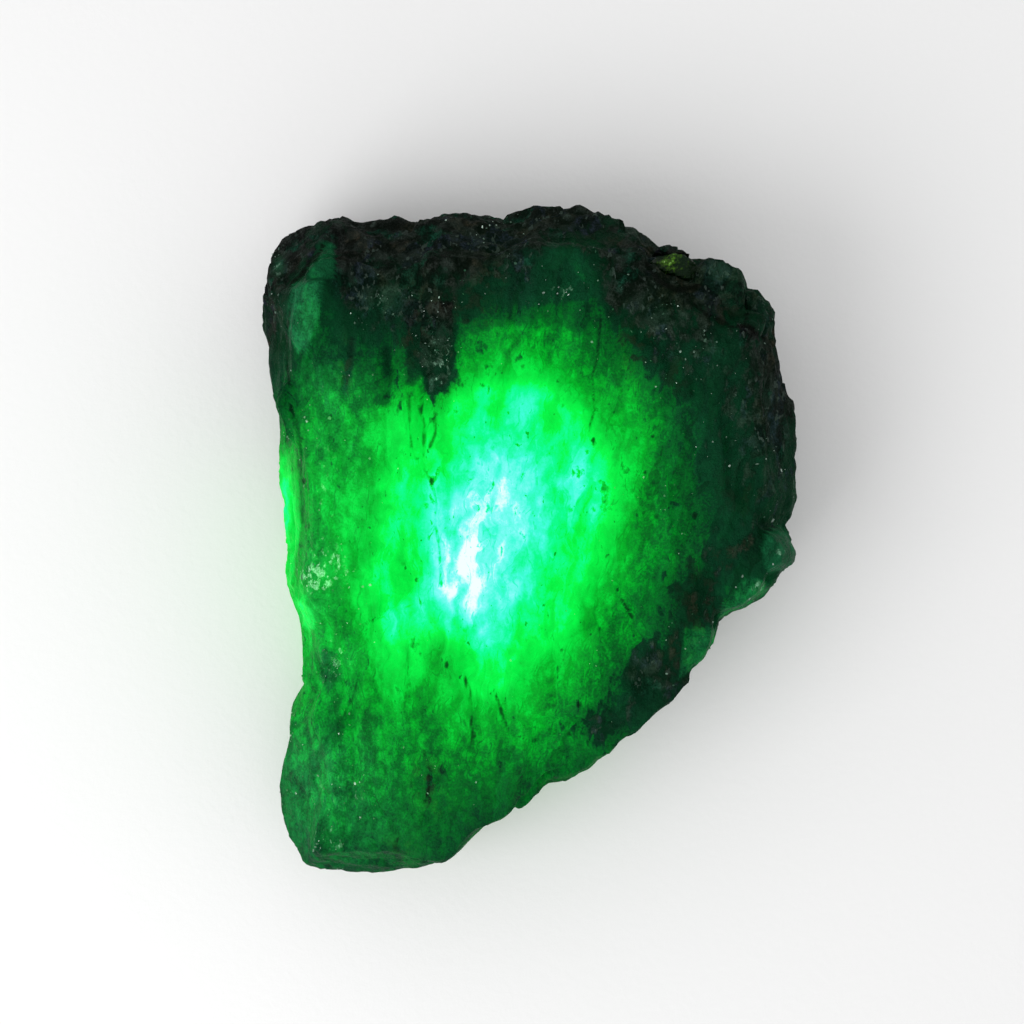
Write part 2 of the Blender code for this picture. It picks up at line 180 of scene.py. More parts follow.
FACET_CALM = 0.8  # share of the coarse relief that a facet holds back
FACET_CALM_FINE = 0.6  # and of the fine relief
# Share of the fine relief on the clear beryl, and what rind and sugar add to it.
CLEAR_ROUGHNESS, RIND_ROUGHNESS, SUGAR_ROUGHNESS = 0.6, 0.5, 0.6
CRACK_DEPTH = 0.22  # depth of the darkest crack, in millimetres
BREAK_FACING = 0.5  # a break takes nothing from where the stone faces it less than this
BREAK_MOST = 0.6  # the most that a break takes, as a share of the way to the heart plate
BREAK_HOLD = 2.4  # how soon a break takes its full share within its reach

# Shares of the sheet of vertices on the top face and the side; the underside has the rest.
TOP_SHARE = 0.42
SIDE_SHARE = 0.37
SIDE_ROUNDING = 0.55  # 0 for a side of two flat slopes, 1 for a rounded one
WAIST = 0.5  # where the widest line lies between the rim and the foot, as a share of the side
UNDERSIDE_RISE = 1.5  # how far the underside lifts towards its edge, in millimetres
UNDERSIDE_FLAT = 0.70  # share of the underside's reach that stays flat
HEART_REACH = 0.62  # the stone's heart plate is its plan, shrunk by this much about the hub
HEART_HEIGHT = 9.0  # and lies this high, in millimetres
STONE_SQUARES = 128  # squares along each edge of the starting cube

# Tables from here on place things as an eye straight above sees them: this far above the stone's foot, over
# this spot, with plan distances measured at the widest line, in millimetres.
EYE = np.array((-1.5, 2.6))
EYE_HEIGHT = 264.6
WIDEST_LINE = 8.0

# Flat facets of the top face: corners, how far the facet stands out and how it tilts along X and Y, then
# the clouding, rind cover and lamp light that it adds.
FACETS = [
    (
        [(-21.2, 23.3), (-18.6, 23.5), (-18.8, 19.8), (-19.6, 17.8), (-20.8, 16.9), (-21.6, 18.4), (-21.7, 21.2)],
        0.5, 0.10, -0.04, 0.95, -0.9, 0.03,
    ),
    (
        [(-19.8, 23.7), (-19.7, 25.0), (-18.8, 26.5), (-18.1, 27.0), (-17.6, 26.7), (-17.5, 25.0), (-17.7, 23.7)],
        0.1, 0.05, 0.10, 0.40, -0.75, 0.03,
    ),
    (
        [(22.8, 1.3), (24.4, -0.9), (24.1, -2.2), (22.7, -2.8), (21.6, -2.7), (21.1, -0.9), (21.7, 0.5)],
        0.2, -0.20, 0.0, 0.62, -0.9, 0.01,
    ),
    (
        [(18.1, -5.3), (19.0, -3.8), (20.1, -3.3), (21.6, -3.8), (21.4, -4.9), (19.9, -5.9), (17.2, -6.9)],
        -0.2, 0.0, -0.20, 0.50, -0.8, 0.04,
    ),
    (
        [(14.1, -8.0), (16.9, -8.0), (16.9, -9.4), (16.0, -10.8), (13.6, -12.3)],
        -0.1, 0.10, -0.15, 0.60, -0.85, 0.06,
    ),
    (
        [(-21.2, -5.2), (-19.7, -6.0), (-18.9, -7.4), (-19.7, -8.2), (-20.7, -7.4)],
        0.1, -0.20, 0.0, 0.80, -0.5, 0.09,
    ),
    (
        [(-22.9, 8.4), (-21.2, 9.2), (-20.7, 6.2), (-20.6, 1.0), (-20.9, -1.6), (-21.5, -4.4), (-22.4, -2.0)],
        -0.5, -0.30, 0.0, 0.25, -1.0, 0.06,
    ),
    ([(19.0, 19.5), (20.6, 18.7), (20.7, 18.2), (19.2, 18.9)], 0.2, 0.0, 0.0, 0.0, 0.9, -0.1),
    ([(-14.8, -8.0), (-10.4, -4.6), (-8.4, -8.0), (-9.6, -13.0), (-13.2, -14.8)], 0.1, 0.02, 0.0, 0.0, 0.0, 0.05),
    ([(2.2, -9.4), (6.2, -7.6), (8.6, -12.8), (5.6, -15.2), (2.6, -13.6)], 0.1, 0.0, -0.03, 0.0, 0.0, 0.05),
]  # fmt: skip
# Straight-edged patches that lie flush: corners, then the clouding, rind cover and lamp light they add.
PATCHES = [
    ([(-22.9, 7.0), (-21.1, 8.2), (-20.7, 6.1), (-20.6, 1.0), (-20.8, -1.2), (-22.4, -3.0)], 0.0, 0.0, 0.06),
    ([(-22.9, 5.0), (-20.8, 6.4), (-20.6, 1.0), (-20.7, -0.2), (-22.4, -1.2)], 0.0, 0.0, 0.06),
    ([(-11.3, 21.6), (-6.8, 21.6), (-6.8, 15.8), (-9.6, 15.8), (-11.0, 17.4)], 0.0, 0.16, -0.14),
    ([(-9.6, 15.8), (-6.8, 15.8), (-7.5, 13.9), (-8.4, 13.2), (-9.4, 13.4)], 0.0, 0.20, -0.20),
    ([(-11.0, 17.4), (-9.6, 16.4), (-9.6, 15.0), (-10.5, 14.0), (-11.0, 14.3)], 0.0, 0.06, -0.14),
    ([(-13.2, 17.5), (-12.5, 17.5), (-12.4, 12.9), (-13.1, 12.9)], 0.0, 0.0, -0.09),
    ([(-14.0, 12.5), (-13.9, 13.1), (-12.4, 13.2), (-12.5, 12.3), (-13.2, 12.0)], 0.0, 0.0, -0.14),
    ([(-16.9, 13.2), (-16.5, 16.1), (-16.1, 18.4), (-15.7, 18.4), (-15.8, 16.1), (-16.3, 13.2)], 0.0, 0.0, -0.14),
    (
        [(-20.8, -23.3), (-20.6, -21.0), (-18.6, -18.1), (-17.9, -19.4), (-19.5, -21.9), (-20.3, -23.7)],
        -0.2, 0.0, -0.08,
    ),
    (
        [(-18.6, -18.1), (-17.2, -16.0), (-16.1, -15.2), (-15.8, -15.8), (-16.8, -17.4), (-17.9, -19.4)],
        -0.2, 0.0, -0.08,
    ),
    ([(-18.6, -9.7), (-17.2, -10.2), (-17.0, -12.1), (-18.1, -13.8), (-18.8, -12.4)], 0.1, 0.0, -0.12),
    (
        [(-14.7, -9.2), (-14.3, -10.6), (-15.2, -13.8), (-16.1, -14.7), (-16.3, -13.8), (-15.6, -11.5)],
        0.0, 0.10, -0.04,
    ),
    ([(-13.3, -5.6), (-11.0, -5.6), (-11.1, -14.7), (-11.8, -16.7), (-13.1, -14.7)], 0.0, 0.0, 0.05),
    (
        [(-6.4, 20.2), (-2.0, 20.8), (2.6, 20.4), (6.4, 19.2), (6.6, 22.5), (4.6, 26.4), (-1.5, 26.6),
         (-5.4, 23.4)],
        0.10, -0.10, -0.05,
    ),
    ([(-5.9, 19.5), (-4.2, 19.0), (-1.6, 19.5), (-1.3, 23.0), (-5.0, 23.0)], 0.0, 0.0, -0.07),
    ([(-1.9, 19.9), (0.6, 19.0), (2.6, 19.7), (3.0, 24.5), (-1.7, 24.5)], 0.0, 0.0, -0.07),
    ([(2.3, 19.8), (4.6, 18.4), (5.6, 19.2), (5.4, 22.5), (3.4, 25.5), (2.6, 24.5)], 0.0, -0.1, -0.07),
]  # fmt: skip
FACET_EDGE = 0.35  # how softly a facet or a patch ends, in millimetres
CLOUDING, COVER, LIGHT = -3, -2, -1  # places of the last three numbers in a row of facets or patches
# Height where each of these begins to show, and the climb until it shows in full, in millimetres.
PATCHES_FROM = (5.0, 4.0)
FACETS_FROM = (9.0, 4.0)
VEINS_FROM = (11.5, 3.0)

# Cracks and streaks of the top face: corners of the line, half width in millimetres, and darkness.
VEINS = [
    ([(-16.2, 18.1), (-16.7, 15.6), (-16.8, 13.4)], 0.24, 0.55),
    ([(-12.9, 17.1), (-12.4, 15.0), (-12.4, 13.8), (-13.3, 12.5)], 0.28, 0.5),
    ([(-9.6, 13.6), (-9.6, 12.6), (-9.7, 11.6)], 0.26, 0.9),
    ([(-9.7, 11.8), (-9.4, 10.4), (-9.5, 8.4), (-9.4, 6.4), (-8.7, 5.2)], 0.24, 0.62),
    ([(-8.7, 5.2), (-8.3, 3.4), (-8.4, 1.6), (-8.0, -1.1), (-7.9, -4.0)], 0.22, 0.52),
    ([(-7.7, 14.6), (-8.2, 13.2), (-8.5, 11.4), (-8.4, 9.8), (-8.9, 8.4)], 0.24, 0.66),
    ([(-10.8, 13.2), (-10.7, 10.4), (-10.6, 8.6), (-10.2, 7.4)], 0.24, 0.56),
    ([(6.5, 20.1), (6.2, 16.5), (5.7, 14.7), (5.9, 11.8), (5.4, 9.6)], 0.20, 0.7),
    ([(8.4, 15.4), (8.3, 14.3)], 0.16, 0.6),
    ([(1.5, 19.0), (1.4, 17.6)], 0.16, 0.6),
    ([(8.4, -5.3), (9.0, -6.3), (9.4, -7.0)], 0.20, 0.9),
    ([(6.3, -7.8), (6.5, -9.2), (7.2, -10.9), (6.3, -12.9)], 0.15, 0.6),
    ([(-3.1, -13.4), (-2.5, -15.4), (-1.6, -17.4), (0.5, -18.1)], 0.18, 0.72),
    ([(-6.1, -11.5), (-5.3, -13.8), (-5.2, -15.6), (-5.0, -17.4), (-5.1, -18.5)], 0.19, 0.9),
    ([(-10.9, -9.4), (-10.9, -13.0), (-11.5, -16.5), (-11.6, -18.7), (-11.6, -20.8)], 0.18, 0.56),
    ([(-15.2, -11.8), (-15.9, -14.3), (-15.95, -16.8), (-15.8, -19.9), (-15.9, -23.4)], 0.17, 0.62),
    ([(-20.8, -19.0), (-18.2, -17.6), (-16.7, -15.8), (-15.2, -12.9)], 0.18, 0.6),
    ([(-8.6, -12.3), (-8.4, -14.9)], 0.16, 0.6),
    ([(-9.4, -19.0), (-8.9, -21.4), (-9.2, -23.6)], 0.22, 0.75),
    ([(-13.2, -24.4), (-12.0, -26.0), (-11.6, -28.2)], 0.16, 0.6),
    ([(-20.9, 11.0), (-20.5, 8.0), (-20.6, 5.7), (-20.4, 1.6)], 0.20, 0.75),
    ([(-20.4, 1.6), (-20.5, -3.3), (-19.8, -5.4), (-18.6, -8.6), (-17.0, -10.6)], 0.18, 0.42),
    ([(-21.2, 22.4), (-21.9, 18.8), (-21.7, 15.2), (-21.2, 11.2)], 0.22, 0.9),
    ([(-17.9, 27.3), (-18.9, 26.0), (-19.8, 25.0), (-20.5, 24.0), (-21.3, 23.3)], 0.20, 1.5),
    ([(-8.9, -2.0), (-8.2, -5.0), (-7.6, -9.0)], 0.12, 0.3),
    ([(10.6, 25.0), (11.8, 23.4), (13.4, 22.6), (15.0, 22.9), (16.0, 24.0)], 0.34, 1.0),
    ([(14.8, 21.4), (16.2, 20.3), (18.4, 19.3), (20.0, 19.4), (21.4, 18.1)], 0.24, 0.95),
    ([(19.7, 23.2), (19.8, 21.4), (19.5, 19.6)], 0.2, 0.9),
]  # fmt: skip
# Dark specks of the top face: x, y, radius in millimetres, and darkness.
SPECKS = [
    (5.8, 9.1, 0.20, 1.0), (11.2, 9.4, 0.18, 0.8), (10.5, 6.2, 0.18, 0.8), (7.7, 5.3, 0.16, 0.6),
    (15.0, 2.3, 0.34, 0.8), (11.6, 2.2, 0.30, 0.7), (8.0, -4.4, 0.20, 0.9), (9.0, -6.3, 0.24, 0.9),
    (6.4, -8.0, 0.24, 0.8), (6.5, -9.1, 0.18, 0.7), (-7.4, -11.2, 0.28, 0.95), (-10.1, -10.5, 0.16, 0.8),
    (-2.5, -15.3, 0.22, 0.9), (-4.9, -17.5, 0.24, 0.9), (0.5, -18.0, 0.26, 0.9), (3.6, -17.4, 0.26, 0.9),
    (4.6, -14.8, 0.28, 0.6), (-20.3, 5.4, 0.28, 0.9), (-20.5, 9.2, 0.26, 0.8), (-11.3, -1.9, 0.36, 0.5),
    (-10.0, 7.4, 0.20, 0.7), (-8.9, -20.7, 0.45, 0.5), (-12.0, -27.6, 0.4, 0.5), (7.2, -11.0, 0.3, 0.5),
    (-17.4, -16.4, 0.3, 0.5), (10.4, 2.5, 0.24, 0.6), (14.8, 13.6, 0.3, 0.5), (3.1, 12.2, 0.2, 0.4),
]  # fmt: skip

# Where the dark mica rind covers the beryl, seen from above: x, y, reach along x, y in millimetres, and
# how much it adds; what lies below zero uncovers it again. From a third it holds back the lamp's light,
# and from two thirds it hides the beryl's own colour.
RIND = [
    (-9.0, 28.8, 17.0, 3.4, 0.95), (-22.8, 25.0, 2.4, 4.2, 1.0), (-8.0, 24.4, 10.0, 4.6, 0.62),
    (-8.4, 16.4, 2.3, 5.0, 0.62), (-13.6, 20.4, 4.0, 3.6, 0.42), (-17.0, 24.0, 3.2, 2.6, 0.45),
    (3.0, 23.6, 11.0, 4.4, 0.50), (3.0, 29.6, 7.0, 1.5, 0.45), (9.5, 23.4, 4.0, 5.0, 0.42),
    (13.5, 24.0, 5.0, 3.2, 0.55), (16.0, 18.0, 7.5, 5.6, 0.50), (21.4, 8.0, 4.2, 11.0, 0.52),
    (22.8, 14.0, 2.4, 6.0, 0.5), (15.4, -6.0, 3.0, 5.4, 0.66), (11.0, -12.4, 4.4, 3.2, 0.74),
    (7.2, -16.6, 3.6, 2.2, 0.5), (20.6, -0.4, 2.2, 2.2, 0.4), (-23.2, 17.0, 1.4, 5.0, 0.5),
    (16.5, 7.0, 4.0, 6.0, 0.20), (-8.6, -21.4, 1.6, 1.8, 0.35), (-12.6, 13.6, 1.0, 1.6, 0.08),
    (-16.6, 16.0, 1.0, 3.0, 0.16), (-19.6, 20.4, 1.9, 4.4, -0.8), (22.7, -1.2, 1.5, 1.7, -0.8),
    (20.0, -4.7, 2.4, 1.2, -0.9), (15.6, -9.2, 1.3, 1.9, -0.9),
    (3.4, 24.2, 4.0, 3.4, -0.62), (-3.0, 22.0, 2.6, 2.4, -0.32), (3.0, 19.6, 3.6, 1.8, -0.34),
]  # fmt: skip
# Green clouding of the beryl, seen from above, in the same five numbers.
HAZE = [
    (-17.4, 3.5, 3.4, 8.5, 0.36), (-18.2, 13.4, 2.6, 4.0, 0.40), (-16.0, 10.0, 3.0, 5.0, 0.20),
    (-20.6, -21.5, 2.4, 7.0, 0.50), (-17.6, -11.0, 2.4, 3.0, 0.40), (-16.0, -23.0, 5.0, 5.5, 0.42),
    (-19.2, -4.4, 1.6, 4.0, 0.60), (-12.6, 21.4, 3.0, 2.4, 0.22), (18.0, 12.0, 4.0, 6.0, 0.12),
    (-14.5, -28.6, 7.0, 1.6, 0.12), (-8.4, 16.4, 2.2, 3.0, 0.18), (20.6, 5.0, 3.0, 5.0, 0.16),
    (-22.6, 24.8, 0.6, 0.8, 0.5), (12.4, 20.6, 2.6, 2.0, 0.12), (9.6, -13.0, 3.0, 3.0, 0.12),
    (-18.2, -20.4, 2.2, 3.2, 0.34), (-12.8, -17.4, 2.2, 2.0, 0.14), (16.6, 16.6, 2.4, 2.0, 0.14),
]  # fmt: skip
# Pale sugar on the beryl and its rind, seen from above, in the same five numbers.
SUGAR = [
    (-19.2, -3.4, 1.1, 0.9, 2.2), (-17.8, -2.2, 2.4, 2.6, 0.55), (-18.4, 5.6, 1.8, 6.0, 0.30),
    (-8.2, 16.6, 1.9, 2.6, 0.42), (-8.6, 14.6, 1.2, 2.6, 0.34), (-17.4, -10.6, 1.4, 2.4, 0.60),
    (-18.4, -22.0, 3.2, 6.0, 0.26), (-18.0, -27.2, 1.6, 0.9, 0.5), (-13.4, 21.8, 2.0, 1.2, 0.45),
    (22.7, -1.2, 1.5, 1.7, 0.38), (15.6, -8.8, 1.2, 1.0, 0.4), (20.7, -4.2, 0.9, 0.6, 0.55),
    (18.0, 23.4, 1.4, 1.2, 0.30), (-22.7, 24.6, 0.6, 0.8, 0.8), (15.9, 18.2, 0.5, 0.5, 0.9),
    (3.2, 22.6, 1.4, 0.8, 0.35), (-18.8, 14.0, 2.0, 2.6, 0.22), (-22.6, 19.8, 0.8, 3.6, 0.30),
    (19.4, 6.0, 3.0, 4.0, 0.14), (13.0, 3.6, 2.6, 2.6, 0.14), (-15.6, -23.0, 0.8, 0.8, 0.4),
]  # fmt: skip
# Brown stain, seen from above, in the same five numbers.
RUST = [
    (-9.8, 21.6, 1.7, 2.4, 0.9), (-3.6, 24.4, 1.8, 1.4, 0.8), (-16.5, 15.4, 0.6, 2.4, 0.9),
    (-10.4, 18.0, 1.2, 1.8, 0.8), (-15.6, -22.4, 0.8, 0.8, 0.9), (-9.3, -21.6, 1.1, 1.8, 0.9),
    (15.4, -6.2, 1.9, 4.4, 0.5), (9.6, 17.6, 1.5, 2.6, 0.65), (12.6, -11.2, 2.2, 2.0, 0.4),
    (17.2, 20.8, 1.9, 1.2, 0.7), (-11.6, -27.6, 1.6, 0.8, 0.6), (19.4, 4.6, 2.0, 2.0, 0.4),
    (15.4, 25.6, 1.6, 0.8, 0.5), (-22.6, 21.0, 0.9, 3.0, 0.5), (-20.9, 8.6, 0.7, 3.2, 0.35),
    (-5.0, 21.0, 2.4, 2.0, 0.45), (13.4, 15.2, 1.2, 1.6, 0.5), (-8.0, -24.0, 1.4, 1.0, 0.5),
]  # fmt: skip

# The stone's glow is painted light: the lamp below it is not in the scene, and its light is given as emission.
# The lamp's light in the stone: middle of its bright field, how far that field reaches along X and Y
# before it fades, how far the fade takes to fall to about a third, and how it leans, in millimetres.
LAMP_MIDDLE = np.array((-3.5, 0.1))
FIELD_REACH = np.array((9.2, 13.8))
CORE_REACH = np.array((8.4, 14.0))
FIELD_LIGHT = 0.60
CORE_LIGHT = 0.24
LAMP_FADE = 6.5
LAMP_LEAN = 0.13
CORE_SOFTNESS = 0.75  # share of the core's reach over which it grows to full strength
# What the field gains on the way down from this height to the foot, in millimetres.
SIDE_GAIN, SIDE_GAIN_HEIGHT = 0.9, 18.0
# Bare light under the slanting edge, a painted glow: its strength, which way that side faces, the height where it
# ends and the way down to full strength, then the same for how far out it begins, in millimetres.
LEAK = 0.45
LEAK_WAY = (0.55, -0.83, 0.0)
LEAK_HEIGHT, LEAK_CLIMB = 2.0, 1.6
LEAK_OUT, LEAK_SPREAD = 9.0, 5.0
# Places of the top face that let out more of the light, or less: x, y, reach along x, y, and what they add.
# They weaken with depth, from OUTLET_HEIGHT down.
TOP_OUTLETS = [
    (-5.8, -3.6, 3.0, 4.2, 0.15), (-1.6, 5.4, 1.4, 3.2, 0.07), (-8.2, -12.5, 3.6, 4.6, -0.16),
    (0.6, -10.8, 2.4, 2.6, -0.10), (1.0, 12.4, 4.0, 3.2, 0.08), (4.6, 4.8, 3.0, 4.0, 0.14),
    (9.6, 9.0, 2.8, 4.2, 0.13), (8.6, 0.4, 2.4, 4.0, 0.07), (-11.8, 10.8, 2.4, 2.8, 0.15),
    (14.4, -0.8, 3.4, 3.4, 0.08), (10.0, -9.4, 3.0, 2.6, 0.06), (-10.0, -9.6, 2.6, 2.0, -0.08),
    (-11.8, 5.6, 2.4, 3.4, 0.06), (-6.6, 2.4, 1.8, 1.8, 0.08), (-3.6, -9.2, 1.6, 3.0, 0.06),
    (-3.2, 9.4, 1.8, 2.6, 0.06), (-9.5, -21.0, 3.0, 3.0, -0.05), (8.8, 14.2, 2.0, 3.0, 0.08),
    (-0.6, 19.0, 5.6, 1.7, 0.07),
]  # fmt: skip
OUTLET_HEIGHT = 20.0
# The same for the sides: x, y, z, reach along x, y, z, and what they add.
SIDE_OUTLETS = [
    (-17.8, 11.5, 18.0, 3.2, 5.0, 20.0, 0.08),
    (-19.0, -5.5, 16.0, 2.6, 4.6, 16.0, 0.07),
    (-18.6, 6.5, 16.0, 3.0, 4.5, 14.0, 0.06),
    (-22.9, 2.2, 9.0, 1.5, 6.6, 7.0, 0.40),  # clear window in the left edge
    (-21.4, -6.6, 13.0, 1.6, 3.2, 8.0, 0.24),
    (-18.5, 1.5, 16.0, 4.4, 8.0, 14.0, 0.12),
    (-19.8, -14.0, 12.0, 4.0, 6.0, 14.0, 0.06),
    (-14.0, -22.5, 14.0, 9.0, 8.5, 20.0, 0.16),  # foot lobe
    (-20.6, -23.0, 12.0, 3.2, 8.0, 14.0, 0.08),
    (-18.5, 12.0, 14.0, 4.0, 4.0, 12.0, 0.12),
    (-19.7, 20.4, 16.0, 1.6, 3.8, 8.0, 0.12),  # green lens
    (3.2, -18.0, 14.0, 6.0, 3.4, 12.0, 0.10),
    (19.5, -5.0, 12.0, 4.0, 2.4, 8.0, 0.06),  # clear chips by the nose
    (3.8, 23.4, 18.0, 3.0, 3.6, 8.0, 0.07),  # green shoulder
]  # fmt: skip

# Where mica flakes lie thickest, seen from above: x, y, spread in millimetres, and how many.
FLAKE_PATCHES = [
    (-12.6, 21.2, 0.7, 10), (-8.0, 20.2, 1.1, 10), (-9.5, 19.6, 2.4, 10), (-5.4, 20.6, 1.4, 8),
    (-3.4, 28.8, 1.2, 9), (-4.2, 27.2, 0.8, 8), (-1.4, 25.6, 1.8, 8), (-8.4, 16.8, 1.1, 22),
    (1.6, 21.0, 1.1, 14), (4.2, 21.6, 1.2, 10), (6.8, 19.0, 1.2, 6), (-21.2, 9.6, 0.6, 10),
    (-20.0, 10.6, 0.8, 10), (-18.6, 9.4, 1.4, 10), (-19.2, -3.5, 0.8, 10), (-17.4, -1.6, 1.4, 12),
    (-15.4, -4.0, 1.4, 8), (-17.6, -7.8, 1.0, 12), (-17.4, -12.0, 1.2, 16), (-16.2, -15.4, 0.7, 10),
    (-19.4, -21.4, 1.0, 8), (-16.4, -20.4, 1.4, 8), (-17.8, -27.2, 1.0, 20), (-14.0, -23.0, 2.4, 10),
    (-8.4, -20.6, 2.0, 10), (13.8, 14.4, 1.3, 12), (15.0, 16.0, 1.2, 8), (20.0, 6.4, 1.5, 14),
    (21.0, 3.4, 1.0, 10), (17.0, 9.4, 2.0, 10), (12.8, 3.0, 1.4, 14), (8.0, 4.0, 1.2, 6),
    (13.0, -9.0, 1.6, 10), (18.6, -3.0, 1.6, 8), (17.0, 17.6, 1.4, 10), (-22.6, 25.6, 0.4, 10),
    (12.7, 20.4, 0.6, 6), (-21.1, -18.0, 0.6, 12), (-21.4, -15.6, 0.5, 10), (-22.0, -23.0, 0.6, 8),
    (-14.6, 18.8, 0.8, 6), (19.0, -8.0, 1.0, 4), (10.9, 17.8, 1.0, 8), (-22.4, 21.0, 0.8, 8),
]  # fmt: skip
FLAKE_SEED, BLOCK_SEED = 41, 8  # where the draws for the flakes and for the blocks' faces start
FLAKE_FACING = 0.3  # a patch's flakes lie where the stone's normal rises more than this
FLAKE_FOOT = 0.3  # no flake lies lower than this, in millimetres
FLAKE_LIGHT = 0.62  # nor where more of the lamp's light comes through than this
FLAKE_LEAN = 0.38  # how far the flakes lean off the surface, as a share of its normal
FLAKE_THICKNESS = 0.05  # the most that half a flake measures through, in millimetres
FLAKE_RISE = 0.4  # how far its middle stands over the surface, as a share of that
FLAKE_SIDES = 6
FLAKE_SPREAD = 0.50  # spread of the flakes' widths, on a natural logarithm
FLAKE_STRETCH, FLAKE_RAGGEDNESS = (0.35, 1.0), (0.55, 1.2)  # least and most breadth, and way to a corner
FLAKE_GLOW = 0.75  # share of the lamp's light that comes through a flake
GLINTS, GLINT_RARITY = (0.1, 1.0), 2.5  # least and most brightness, and how rare the brightest are

# Blocks of rind that stand out beside the olive grain, in millimetres: corners of the plan as seen from
# above, then top, foot, the top's slope along X and Y, then cuts (bearing, degrees above the horizon,
# distance from the middle), then rind cover, clouding and stain.
RIND_BLOCKS = {
    "rind_knob": (
        [(14.6, 22.9), (15.4, 25.0), (16.1, 25.7), (17.7, 25.4), (19.0, 24.5), (19.6, 23.0), (19.7, 21.6),
         (19.2, 19.9), (17.7, 20.2), (15.9, 21.1)],
        19.4, 8.0, (0.05, -0.06),
        [(238, 58, 4.75), (60, 45, 5.7), (5, 50, 5.5), (300, 50, 5.3), (160, 50, 5.3)],
        0.92, 0.09, 0.25,
    ),
    "rind_knob_outer": (
        [(19.5, 22.8), (20.5, 22.8), (21.4, 21.5), (21.9, 20.2), (21.7, 18.8), (21.3, 18.4), (19.9, 19.2),
         (19.5, 21.1)],
        17.4, 7.0, (-0.1, 0.05),
        [(30, 55, 4.6), (95, 48, 4.7), (210, 60, 4.8)],
        0.72, 0.10, 0.1,
    ),
    "rind_slab": (
        [(18.8, 19.6), (19.8, 19.7), (20.7, 19.0), (20.6, 18.4), (19.9, 18.5), (19.0, 19.0)],
        17.3, 8.0, (-0.12, 0.10),
        [(250, 55, 3.9)],
        1.0, 0.0, 0.0,
    ),
    "rind_step": (
        [(11.5, 26.4), (12.1, 26.8), (12.9, 26.9), (13.9, 26.4), (14.6, 25.9), (14.4, 25.4), (12.7, 25.8),
         (11.8, 25.9)],
        17.6, 7.0, (0.0, -0.25),
        [(100, 55, 4.6)],
        0.95, 0.0, 0.3,
    ),
}  # fmt: skip
BLOCK_SQUARES = 24  # squares along each edge of a block's starting cube
BLOCK_LEAN = 1.8  # how far a block's foot is set in towards the hub, in millimetres
MOST_FACES = 40  # room for the tones of a block's faces
BLOCK_KEENNESS = 48.0  # how sharply a block's faces meet
BLOCK_RELIEF = [(1.7, 0.20, 13), (0.7, 0.09, 17)]  # as in RELIEF
BLOCK_INSET = 0.10  # room that the relief needs inside the faces, in millimetres
BLOCK_GLOW = 0.05  # share of the lamp's light that comes through a block
# How a block's clouding grows for each millimetre along X, Y and Z, painted light that makes its upper outer
# side paler, and what a face's own tone changes in its clouding and in its rind cover.
PAINTED_LIGHT_WAY = (0.28, 0.30, 0.10)
TONE_CLOUDING, TONE_COVER = 0.5, 0.16
MOST_CLOUDING = 2.2

# The olive grain, in millimetres, in the same numbers as the blocks, and the middle of its pale cloud, which is
# partly a painted highlight.
OLIVE_PLAN = [
    (11.1, 25.4), (12.0, 25.9), (12.9, 26.1), (14.0, 25.9), (15.1, 25.4), (15.9, 24.6), (15.9, 23.9),
    (15.1, 23.5), (13.9, 23.6), (12.5, 24.2), (11.4, 24.7),
]  # fmt: skip
OLIVE_TOP = 18.3
OLIVE_FOOT = 12.0
OLIVE_SLOPE = (0.05, -0.16)
OLIVE_CUTS = [(255, 52, 3.1), (20, 50, 3.0), (120, 50, 2.95), (190, 45, 3.2)]
OLIVE_RELIEF = [(1.2, 0.16, 5), (0.5, 0.10, 9)]
OLIVE_CLOUD_AND_HIGHLIGHT = (12.1, 24.3, 18.2)

# Colour of the painted glow that stands for the lamp's light at the surface, for how much of it comes through,
# from 0 to 1.
LIGHT_COLOURS = [
    (0.00, (0.0, 0.0, 0.0)), (0.10, (0.0004, 0.022, 0.005)), (0.25, (0.0006, 0.147, 0.010)),
    (0.40, (0.0006, 0.402, 0.016)), (0.60, (0.0008, 0.930, 0.060)), (0.70, (0.0040, 0.960, 0.300)),
    (0.80, (0.0480, 0.962, 0.680)), (0.90, (0.2050, 0.965, 0.920)), (1.00, (0.9000, 1.000, 1.000)),
]  # fmt: skip
BUMP_HEIGHT = 0.0003  # metres
# Colour of the painted glow under the slanting edge.
LEAK_COLOUR = (1.0, 1.0, 0.50, 1)
# Colours that patches of the rind take, of its pale spots, and of the cracks.
RIND_BROWN = (0.0102, 0.0082, 0.0060, 1)
RIND_GREEN = (0.0022, 0.014, 0.0085, 1)
RIND_SLATE = (0.006, 0.007, 0.012, 1)
RIND_PALE = (0.036, 0.050, 0.043, 1)
CRACK_COLOUR = (0.0016, 0.0024, 0.0016, 1)
MICA_DIM = (0.010, 0.045, 0.026, 1)
# The palest colour of the olive grain, at the heart of its painted highlight.
OLIVE_PALE_HIGHLIGHT = (0.46, 0.62, 0.30, 1)

# The stage, in millimetres but for the light and the camera, which are in metres.
FLOOR_HALF = 1500.0
FLOOR_SQUARES = 60
SOFT_LIGHT_WIDTH = 0.24
SOFT_LIGHT_PLACE = (-0.19, -0.12, 0.22)
SOFT_LIGHT_TURN = (45.6, 0.0, -57.7)  # degrees
ROOM_SHADE = 0.6  # strength of the room's light straight above, as a share of that from the sides
ROOM_WAY = (0.55, 0.83, 0.0)  # the side of the room that is dimmest
LENS, SENSOR = 100, 36  # the camera's focal length and sensor width, in millimetres
CLIP = (0.01, 10)  # metres


def eased(value):
    """0 below 0, 1 above 1, and a smooth climb between."""
    value = np.clip(value, 0, 1)
    return value * value * (3 - 2 * value)


